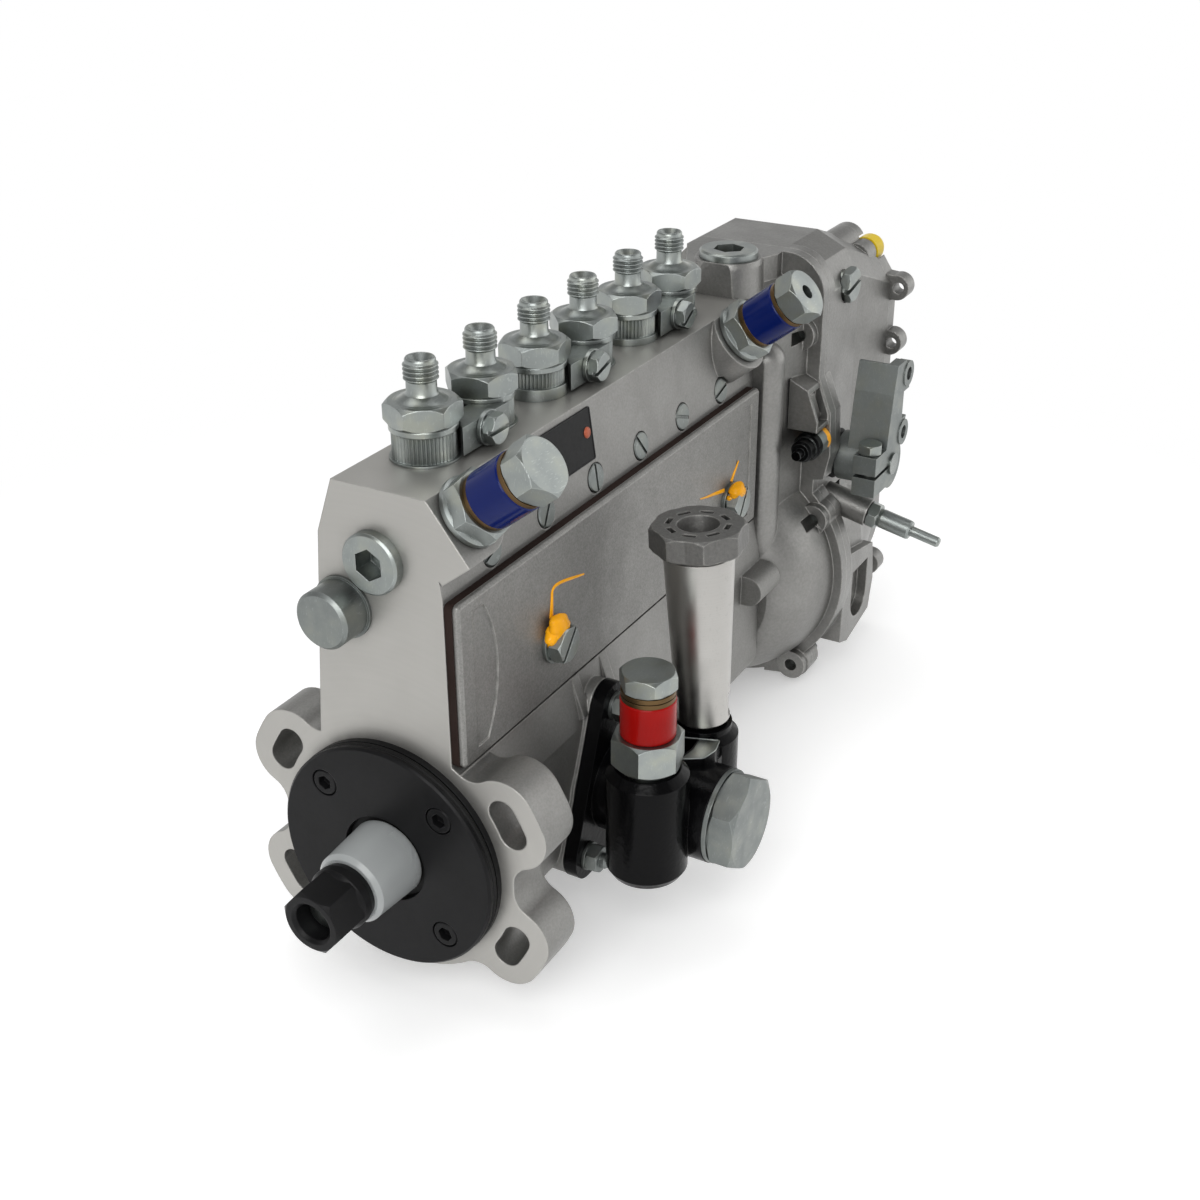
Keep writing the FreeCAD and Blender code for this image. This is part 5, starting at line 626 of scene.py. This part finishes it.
def lathe(profile, steps=48):
    """Spins profile, a list of (radius, height) that starts and ends on the axis, about Z."""
    deselect()
    bpy.ops.mesh.primitive_plane_add(size=MM, location=(0, 0, 0))
    start_editing()
    bpy.ops.mesh.merge(type="CENTER")
    bpy.ops.transform.translate(value=(profile[0][0], 0, profile[0][1]))
    for (radius, height), (next_radius, next_height) in zip(profile, profile[1:]):
        step = (next_radius - radius, 0, next_height - height)
        bpy.ops.mesh.extrude_vertices_move(TRANSFORM_OT_translate={"value": step})
    bpy.ops.mesh.select_all(action="SELECT")
    bpy.ops.mesh.spin(steps=steps, angle=2*math.pi, center=(0, 0, 0), axis=(0, 0, 1))
    close_up()
    stop_editing()
    return bpy.context.object


def apply_modifier(piece, kind, **settings):
    bpy.context.view_layer.objects.active = piece
    modifier = piece.modifiers.new(kind.title(), kind)
    for name, value in settings.items():
        setattr(modifier, name, value)
    bpy.ops.object.modifier_apply(modifier=modifier.name)


def chamfered_hexagon(across_flats, low, high, chamfer, turn):
    """A hexagon whose corners a cone has cut, as on a turned nut."""
    radius = across_flats/math.sqrt(3)
    wide = radius*1.01
    cone = lathe([(0, low), (across_flats/2, low), (wide, low + chamfer), (wide, high - chamfer),
                  (across_flats/2, high), (0, high)], 64)
    deselect()
    bpy.ops.mesh.primitive_cylinder_add(vertices=6, radius=radius, depth=high - low,
                                        location=(0, 0, (low + high)/2),
                                        rotation=(0, 0, math.radians(turn)))
    nut = bpy.context.object
    bpy.ops.object.transform_apply(location=True, rotation=True, scale=True)
    apply_modifier(nut, "BOOLEAN", object=cone, operation="INTERSECT", solver="EXACT")
    bpy.data.objects.remove(cone)
    return nut


def serrated_ring(radius, depth, teeth, low, high):
    """A cylinder whose every second edge is drawn in, which leaves upright serrations."""
    deselect()
    bpy.ops.mesh.primitive_cylinder_add(vertices=2*teeth, radius=radius, depth=high - low,
                                        location=(0, 0, (low + high)/2))
    bpy.ops.object.transform_apply(location=True, rotation=True, scale=True)
    ring = bpy.context.object
    start_editing()
    bpy.ops.mesh.select_all(action="DESELECT")
    stop_editing()
    for vertex in ring.data.vertices:
        step = round(math.atan2(vertex.co.y, vertex.co.x)/(math.pi/teeth))
        vertex.select = step % 2 == 1
    bpy.ops.object.mode_set(mode="EDIT")
    inward = (radius - depth)/radius
    bpy.ops.transform.resize(value=(inward, inward, 1), center_override=(0, 0, 0))
    stop_editing()
    return ring


def joined(pieces, name):
    """Joins pieces into the first one and names it and its mesh."""
    deselect()
    for piece in pieces:
        piece.select_set(True)
    bpy.context.view_layer.objects.active = pieces[0]
    if len(pieces) > 1:
        bpy.ops.object.join()
    whole = bpy.context.object
    whole.name = name
    whole.data.name = name
    return whole


def set_down(piece, place=Vector((0, 0, 0)), turn=None):
    """Moves a piece modelled at the origin to its place, and puts the place in its mesh."""
    choose(piece)
    if turn is not None:
        piece.rotation_euler = turn.to_euler()
    piece.location = place
    bpy.ops.object.transform_apply(location=True, rotation=True, scale=True)
    return piece


def smooth(piece, degrees):
    choose(piece)
    bpy.ops.object.shade_smooth_by_angle(angle=math.radians(degrees))


def paint(piece, name):
    piece.data.materials.clear()
    piece.data.materials.append(finish(name))


def settle(piece, body, finish_name):
    """Finishes a new piece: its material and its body."""
    paint(piece, finish_name)
    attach(piece, body)


def thread_profile(radius, depth, pitch, low, high):
    """The crests and roots of a thread between two heights."""
    points = []
    turns = int((high - low)/pitch)
    for turn in range(turns):
        foot = low + turn*pitch
        points += [(radius - depth, foot), (radius, foot + 0.42*pitch), (radius, foot + 0.58*pitch)]
    points.append((radius - depth, low + turns*pitch))
    return points


def holder_piece(index, sizes):
    """A delivery valve holder: collar, serrated body, hexagon, neck and threaded nipple."""
    plain = PLAIN_RINGS[index]
    collar_top = DECK_Z + 0.8*MM + plain
    crest = sizes.thread_radius
    root = crest - sizes.thread_depth
    nipple_low = HOLDER_TIP_Z - NIPPLE_LENGTH
    threads = thread_profile(crest, sizes.thread_depth, sizes.thread_pitch, nipple_low,
                             HOLDER_TIP_Z - 0.9*MM)
    stem = [(0, DECK_Z), (COLLAR_RADIUS, DECK_Z), (COLLAR_RADIUS, collar_top), (CORE_RADIUS, collar_top),
            (CORE_RADIUS, HEXAGON_LOW - 2.2*MM), (COLLAR_RADIUS - 0.6*MM, HEXAGON_LOW - 2.2*MM),
            (COLLAR_RADIUS - 0.3*MM, HEXAGON_LOW - 1.9*MM), (COLLAR_RADIUS - 0.3*MM, HEXAGON_LOW - 0.2*MM),
            (COLLAR_RADIUS - 0.8*MM, HEXAGON_LOW + 0.2*MM), (9.5*MM, HEXAGON_LOW + 0.2*MM),
            (9.5*MM, HEXAGON_HIGH), (8.8*MM, HEXAGON_HIGH + 0.1*MM), (7.4*MM, HEXAGON_HIGH + 0.9*MM),
            (5.6*MM, HEXAGON_HIGH + 2.0*MM), (5.15*MM, HEXAGON_HIGH + 2.9*MM), (5.1*MM, nipple_low)]
    mouth = [(crest - 0.9*MM, HOLDER_TIP_Z - 0.3*MM), (crest - 1.15*MM, HOLDER_TIP_Z),
             (4.3*MM, HOLDER_TIP_Z), (1.3*MM, HOLDER_TIP_Z - 3.4*MM), (1.25*MM, HOLDER_TIP_Z - 12*MM),
             (0, HOLDER_TIP_Z - 12*MM)]
    body = lathe(stem + threads + [(root, HOLDER_TIP_Z - 0.6*MM)] + mouth, 64)
    nut = chamfered_hexagon(sizes.across_flats, HEXAGON_LOW, HEXAGON_HIGH, 1.5*MM, HEX_TURNS[index] + 30)
    knurl = serrated_ring(sizes.knurl_radius, sizes.knurl_depth, sizes.knurl_teeth, DECK_Z + 0.7*MM + plain,
                          HEXAGON_LOW - 2.1*MM)
    holder = joined([body, nut, knurl], "threaded_holder_%d" % (index + 1))
    set_down(holder, Vector((FIRST_HOLDER_X + index*HOLDER_PITCH, 0, 0)))
    smooth(holder, 32.0)
    return holder


def band_turn():
    """Axes on the slanted band: X along the pump, Y up the band, Z out of it."""
    up = (BAND_TOP - BAND_FOOT).normalized()
    along = Vector((1, 0, 0))
    out = along.cross(up)
    return Matrix((along, up, out)).transposed()


def cut_plate(corners, thickness, corner, name):
    """A plate on Z = 0 with a slightly sunk face. Its corners go clockwise and are rounded."""
    deselect()
    bpy.ops.mesh.primitive_cylinder_add(vertices=len(corners), radius=1.0, depth=thickness,
                                        location=(0, 0, thickness/2))
    bpy.ops.object.transform_apply(location=True, rotation=True, scale=True)
    plate = bpy.context.object
    turn = 2*math.pi/len(corners)
    for vertex in plate.data.vertices:
        place = corners[round(math.atan2(vertex.co.x, vertex.co.y)/turn) % len(corners)]
        vertex.co = (place[0], place[1], vertex.co.z)
    start_editing()
    bpy.ops.mesh.normals_make_consistent(inside=False)
    bpy.ops.mesh.select_mode(type="EDGE")
    bpy.ops.mesh.select_all(action="DESELECT")
    stop_editing()
    for edge in plate.data.edges:
        ends = [plate.data.vertices[v].co for v in edge.vertices]
        edge.select = abs(ends[0].z - ends[1].z) > thickness*0.5
    bpy.ops.object.mode_set(mode="EDIT")
    bpy.ops.mesh.bevel(offset=corner, segments=6)
    bpy.ops.mesh.select_mode(type="FACE")
    bpy.ops.mesh.select_all(action="DESELECT")
    stop_editing()
    for face in plate.data.polygons:
        face.select = face.normal.z > 0.9
    bpy.ops.object.mode_set(mode="EDIT")
    bpy.ops.mesh.inset(thickness=corner*0.5)
    bpy.ops.mesh.inset(thickness=corner*0.12, depth=-PLATE_SINK)
    stop_editing()
    return joined([plate], name)


def rivet(radius, name):
    """A low domed rivet head on Z = 0."""
    dome = [(0, -0.2*MM), (radius, -0.2*MM), (radius, 0.15*MM), (radius*0.86, 0.42*MM),
            (radius*0.5, 0.66*MM), (0, 0.72*MM)]
    head = joined([lathe(dome, 24)], name)
    smooth(head, 60.0)
    return head


def paint_blob(name, place, size, seed):
    """A thick drop of sealing paint, flattened on the cover and uneven round its rim."""
    deselect()
    bpy.ops.mesh.primitive_uv_sphere_add(segments=32, ring_count=16, radius=1.0)
    blob = bpy.context.object
    for vertex in blob.data.vertices:
        swell = 1.0 + 0.16*math.sin(3*vertex.co.x + seed) * math.cos(4*vertex.co.z + 2*seed)
        swell += 0.07*math.sin(9*vertex.co.z + 5*seed)
        vertex.co = Vector((vertex.co.x*size[0]*swell, vertex.co.y*size[1], vertex.co.z*size[2]*swell))
    blob = joined([blob], name)
    set_down(blob, place)
    smooth(blob, 80.0)
    return blob


def paint_run(name, points, widths):
    """A thin line of paint drawn over the cover, as a flattened tube along a smooth curve."""
    curve = bpy.data.curves.new(name, "CURVE")
    curve.dimensions = "3D"
    curve.bevel_depth = 1.0
    curve.bevel_resolution = 3
    curve.resolution_u = 6
    curve.use_fill_caps = True
    spline = curve.splines.new("NURBS")
    spline.points.add(len(points) - 1)
    for point, place, width in zip(spline.points, points, widths):
        point.co = (place[0], COVER_FACE_Y, place[1], 1.0)
        point.radius = width
    spline.order_u = 3
    spline.use_endpoint_u = True
    line = bpy.data.objects.new(name, curve)
    bpy.context.collection.objects.link(line)
    choose(line)
    bpy.ops.object.convert(target="MESH")
    run = joined([bpy.context.object], name)
    start_editing()
    bpy.ops.transform.resize(value=(1, 0.45, 1), center_override=(0, COVER_FACE_Y, 0))
    stop_editing()
    smooth(run, 80.0)
    return run


class PUMP_OT_castings(bpy.types.Operator):
    """Finishes the housing, the governor's case, the access cover and the primer's knob"""
    bl_idname = "pump.castings"
    bl_label = "Castings"

    def execute(self, context):
        dress("pump_casting", "governor_casting", "cover_casting", "knob_casting", "turned_aluminium")
        return {"FINISHED"}


class PUMP_OT_steel_parts(bpy.types.Operator):
    """Finishes the plated, blackened and bare steel parts and the painted feed pump"""
    bl_idname = "pump.steel_parts"
    bl_label = "Steel parts"

    def execute(self, context):
        dress("zinc", "dull_zinc", "bare_steel", "washer", "black_oxide", "black_enamel", "sealed_adjuster")
        return {"FINISHED"}


class PUMP_OT_soft_parts(bpy.types.Operator):
    """Finishes the seals, the gasket and the plastic transport sleeves"""
    bl_idname = "pump.soft_parts"
    bl_label = "Seals and sleeves"

    def execute(self, context):
        dress("rubber", "gasket", "milky_plastic", "blue_plastic", "red_plastic", "yellow_plastic")
        return {"FINISHED"}


class PUMP_OT_delivery_holders(bpy.types.Operator):
    """Models the six delivery valve holders with their threads and serrations"""
    bl_idname = "pump.delivery_holders"
    bl_label = "Delivery valve holders"

    def execute(self, context):
        for index, node in enumerate(HOLDERS):
            holder = holder_piece(index, context.scene.pump_holders)
            settle(holder, "housing", "zinc")
            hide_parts(node)
        return {"FINISHED"}


class PUMP_OT_plates(bpy.types.Operator):
    """Models the bare dark plate and its rivets, and the silver plate on the feed pump"""
    bl_idname = "pump.plates"
    bl_label = "Bare plates"

    def execute(self, context):
        sizes = context.scene.pump_plates
        turn = band_turn()
        share = (BAND_TOP.z - PLATE_MIDDLE_Z)/(BAND_TOP.z - BAND_FOOT.z)
        centre = BAND_TOP.lerp(BAND_FOOT, share)
        centre.x = sizes.right_edge - sizes.length/2
        side, top = sizes.length/2, sizes.height/2
        plate = cut_plate([(side, top), (side, -top), (-side, -top), (-side, top)], sizes.thickness,
                          PLATE_CORNER, "dark_plate")
        set_down(plate, centre, turn)
        settle(plate, "housing", "black_oxide")
        for number, end in enumerate((-1, 1)):
            head = rivet(RIVET_RADIUS, "plate_rivet_%d" % (number + 1))
            offset = Vector((end*(sizes.length/2 - RIVET_INSET), RIVET_RISE, sizes.thickness*0.8))
            set_down(head, centre + turn @ offset, turn)
            settle(head, "housing", "orange_paint" if end == 1 else "zinc")
        layers = (("plate_pad", PAD_CORNERS, PAD_DEPTH, PAD_TOP - PAD_DEPTH, "black_paint", "black_enamel"),
                  ("silver_plate", PAD_CORNERS, sizes.thickness, PAD_TOP, "zinc_plated_steel", "zinc"),
                  ("plate_inlay", INLAY_CORNERS, INLAY_THICKNESS, PAD_TOP + 0.8*sizes.thickness,
                   "black_oxide_steel", "black_oxide"))
        for name, corners, thickness, foot, slot, look in layers:
            layer = cut_plate([(x*MM, y*MM) for x, y in corners], thickness, LAYER_CORNER, name)
            set_down(layer, Vector((0, 0, foot)))
            settle(layer, "housing", look)
        return {"FINISHED"}


class PUMP_OT_sealing_paint(bpy.types.Operator):
    """Models the yellow sealing paint on the access cover's screws"""
    bl_idname = "pump.sealing_paint"
    bl_label = "Sealing paint"

    def execute(self, context):
        for number, ((x, out, z), sizes, seed) in enumerate(PAINT_BLOBS):
            place = Vector((x*MM, COVER_FACE_Y - out*MM, z*MM))
            blob = paint_blob("paint_blob_%d" % (number + 1), place, [size*MM for size in sizes], seed)
            settle(blob, "housing", "yellow_paint")
        for number, (places, widths) in enumerate(PAINT_RUNS):
            run = paint_run("paint_run_%d" % (number + 1), [(x*MM, z*MM) for x, z in places],
                            [width*MM for width in widths])
            settle(run, "housing", "yellow_paint")
        return {"FINISHED"}


class PUMP_OT_stage(bpy.types.Operator):
    """Sets the pale floor, the soft lights and the camera"""
    bl_idname = "pump.stage"
    bl_label = "Stage"

    def execute(self, context):
        settings = context.scene.pump_studio
        make_floor(CAD_BOX[0].z - settings.floor_gap, settings.floor_lift)
        make_world(settings.ambient)
        make_lights(settings)
        make_camera()
        context.scene.view_settings.view_transform = "Standard"
        return {"FINISHED"}


def shows_background(tree):
    """1 for rays that show the background itself: seen straight, mirrored or through glass."""
    path = add(tree, "ShaderNodeLightPath")
    seen = math_node(tree, "MAXIMUM", path.outputs["Is Camera Ray"], path.outputs["Is Glossy Ray"])
    return math_node(tree, "MAXIMUM", seen, path.outputs["Is Transmission Ray"])


def make_floor(height, lift):
    """A wide pale floor that takes the shadow and fades into the white backdrop at its edge."""
    deselect()
    bpy.ops.mesh.primitive_plane_add(size=8.0, location=(0.15, 0, height))
    floor = bpy.context.object
    floor.name = "floor"
    material, tree, shader, place = new_material("Floor")
    shader.inputs["Base Color"].default_value = (0.92, 0.92, 0.92, 1)
    shader.inputs["Roughness"].default_value = 0.9
    shader.inputs["Specular IOR Level"].default_value = 0.1
    shader.inputs["Emission Color"].default_value = (1, 1, 1, 1)
    seen = shows_background(tree)
    tree.links.new(math_node(tree, "MULTIPLY", seen, lift), shader.inputs["Emission Strength"])
    flat = add(tree, "ShaderNodeVectorMath", {0: place, 1: (0.02, 0, 0)}, operation="SUBTRACT")
    away = add(tree, "ShaderNodeVectorMath", {0: flat.outputs[0]}, operation="LENGTH")
    fade = ranged(tree, away.outputs["Value"], 0.24, 0.50)
    white = add(tree, "ShaderNodeEmission", {"Color": (1, 1, 1, 1), "Strength": 1.0})
    share = math_node(tree, "MULTIPLY", fade, seen)
    mix = add(tree, "ShaderNodeMixShader", {0: share, 1: shader.outputs[0], 2: white.outputs[0]})
    tree.links.new(mix.outputs[0], tree.nodes["Material Output"].inputs["Surface"])
    floor.data.materials.append(material)


def make_world(ambient):
    """A soft room for the light. The background is white, but in mirrors greyer towards the zenith."""
    world = bpy.data.worlds.new("Studio")
    bpy.context.scene.world = world
    world.use_nodes = True
    tree = world.node_tree
    background = tree.nodes["Background"]
    outwards = add(tree, "ShaderNodeTexCoord").outputs["Generated"]
    direction = add(tree, "ShaderNodeSeparateXYZ", {0: outwards})
    ramp = add(tree, "ShaderNodeValToRGB", {0: ranged(tree, direction.outputs["Z"], -1.0, 1.0)})
    ramp.color_ramp.elements[0].position = 0.42
    ramp.color_ramp.elements[0].color = (0.30, 0.30, 0.30, 1)
    ramp.color_ramp.elements[1].position = 0.95
    ramp.color_ramp.elements[1].color = (1.0, 1.0, 1.0, 1)
    tree.links.new(ramp.outputs[0], background.inputs["Color"])
    background.inputs["Strength"].default_value = ambient
    straight = add(tree, "ShaderNodeLightPath").outputs["Is Camera Ray"]
    upward = ranged(tree, direction.outputs["Z"], 0.05, 0.65)
    zenith = mixed(tree, upward, (1, 1, 1, 1), (0.22, 0.22, 0.22, 1))
    shown = mixed(tree, straight, zenith, (1, 1, 1, 1))
    white = add(tree, "ShaderNodeBackground", {"Color": shown, "Strength": 1.0})
    mix = add(tree, "ShaderNodeMixShader", {0: shows_background(tree), 1: background.outputs[0],
                                            2: white.outputs[0]})
    tree.links.new(mix.outputs[0], tree.nodes["World Output"].inputs["Surface"])


def area_light(name, place, target, size, power):
    """A square soft light at place, aimed at target."""
    deselect()
    bpy.ops.object.light_add(type="AREA", location=place)
    light = bpy.context.object
    light.name = name
    light.data.shape = "RECTANGLE"
    light.data.size = size[0]
    light.data.size_y = size[1]
    light.data.energy = power
    light.rotation_euler = (Vector(target) - Vector(place)).to_track_quat("-Z", "Y").to_euler()
    return light


def make_lights(settings):
    target = (0.12, 0, 0.05)
    area_light("key", (-0.70, -0.35, 0.65), target, (0.7, 0.7), settings.key_power)
    area_light("top", (0.25, 0.25, 1.05), target, (0.9, 0.6), settings.top_power)
    area_light("rim", (0.75, -0.65, 0.45), target, (1.0, 1.0), settings.rim_power)


def make_camera():
    """The camera stands where the photograph was taken from."""
    right = Vector((math.cos(CAMERA_AZIMUTH), math.sin(CAMERA_AZIMUTH), 0))
    back = Vector((math.sin(CAMERA_AZIMUTH)*math.cos(CAMERA_ELEVATION),
                   -math.cos(CAMERA_AZIMUTH)*math.cos(CAMERA_ELEVATION), math.sin(CAMERA_ELEVATION)))
    up = back.cross(right)
    level = Matrix((right, up, back)).transposed()
    roll = Matrix.Rotation(-CAMERA_ROLL, 3, "Z")
    data = bpy.data.cameras.new("Camera")
    data.lens = CAMERA_LENS
    data.sensor_width = CAMERA_SENSOR
    data.clip_start = 0.01
    camera = bpy.data.objects.new("Camera", data)
    bpy.context.collection.objects.link(camera)
    camera.matrix_world = Matrix.Translation(CAMERA_PLACE) @ (level @ roll.inverted()).to_4x4()
    bpy.context.scene.camera = camera


class PUMP_PT_panel(bpy.types.Panel):
    """Lists the pump's pieces in the order that they are made"""
    bl_idname = "PUMP_PT_panel"
    bl_label = "Injection Pump"
    bl_space_type = "VIEW_3D"
    bl_region_type = "UI"
    bl_category = "Injection Pump"

    def draw(self, context):
        for operator in OPERATORS:
            self.layout.operator(operator.bl_idname)


OPERATORS = (PUMP_OT_castings, PUMP_OT_steel_parts, PUMP_OT_soft_parts, PUMP_OT_delivery_holders,
             PUMP_OT_plates, PUMP_OT_sealing_paint, PUMP_OT_stage)
SETTINGS = {"pump_holders": HolderSizes, "pump_plates": PlateSizes, "pump_colours": FinishColours,
            "pump_studio": StudioSettings}


def register():
    for group in SETTINGS.values():
        bpy.utils.register_class(group)
    for name, group in SETTINGS.items():
        setattr(bpy.types.Scene, name, PointerProperty(type=group))
    for operator in OPERATORS:
        bpy.utils.register_class(operator)
    bpy.utils.register_class(PUMP_PT_panel)


def unregister():
    bpy.utils.unregister_class(PUMP_PT_panel)
    for operator in reversed(OPERATORS):
        bpy.utils.unregister_class(operator)
    for name, group in SETTINGS.items():
        delattr(bpy.types.Scene, name)
        bpy.utils.unregister_class(group)


def main():
    register()
    deselect()
    bpy.ops.pump.castings()
    bpy.ops.pump.steel_parts()
    bpy.ops.pump.soft_parts()
    bpy.ops.pump.delivery_holders()
    bpy.ops.pump.plates()
    bpy.ops.pump.sealing_paint()
    bpy.ops.pump.stage()


if __name__ == "__main__":
    main()
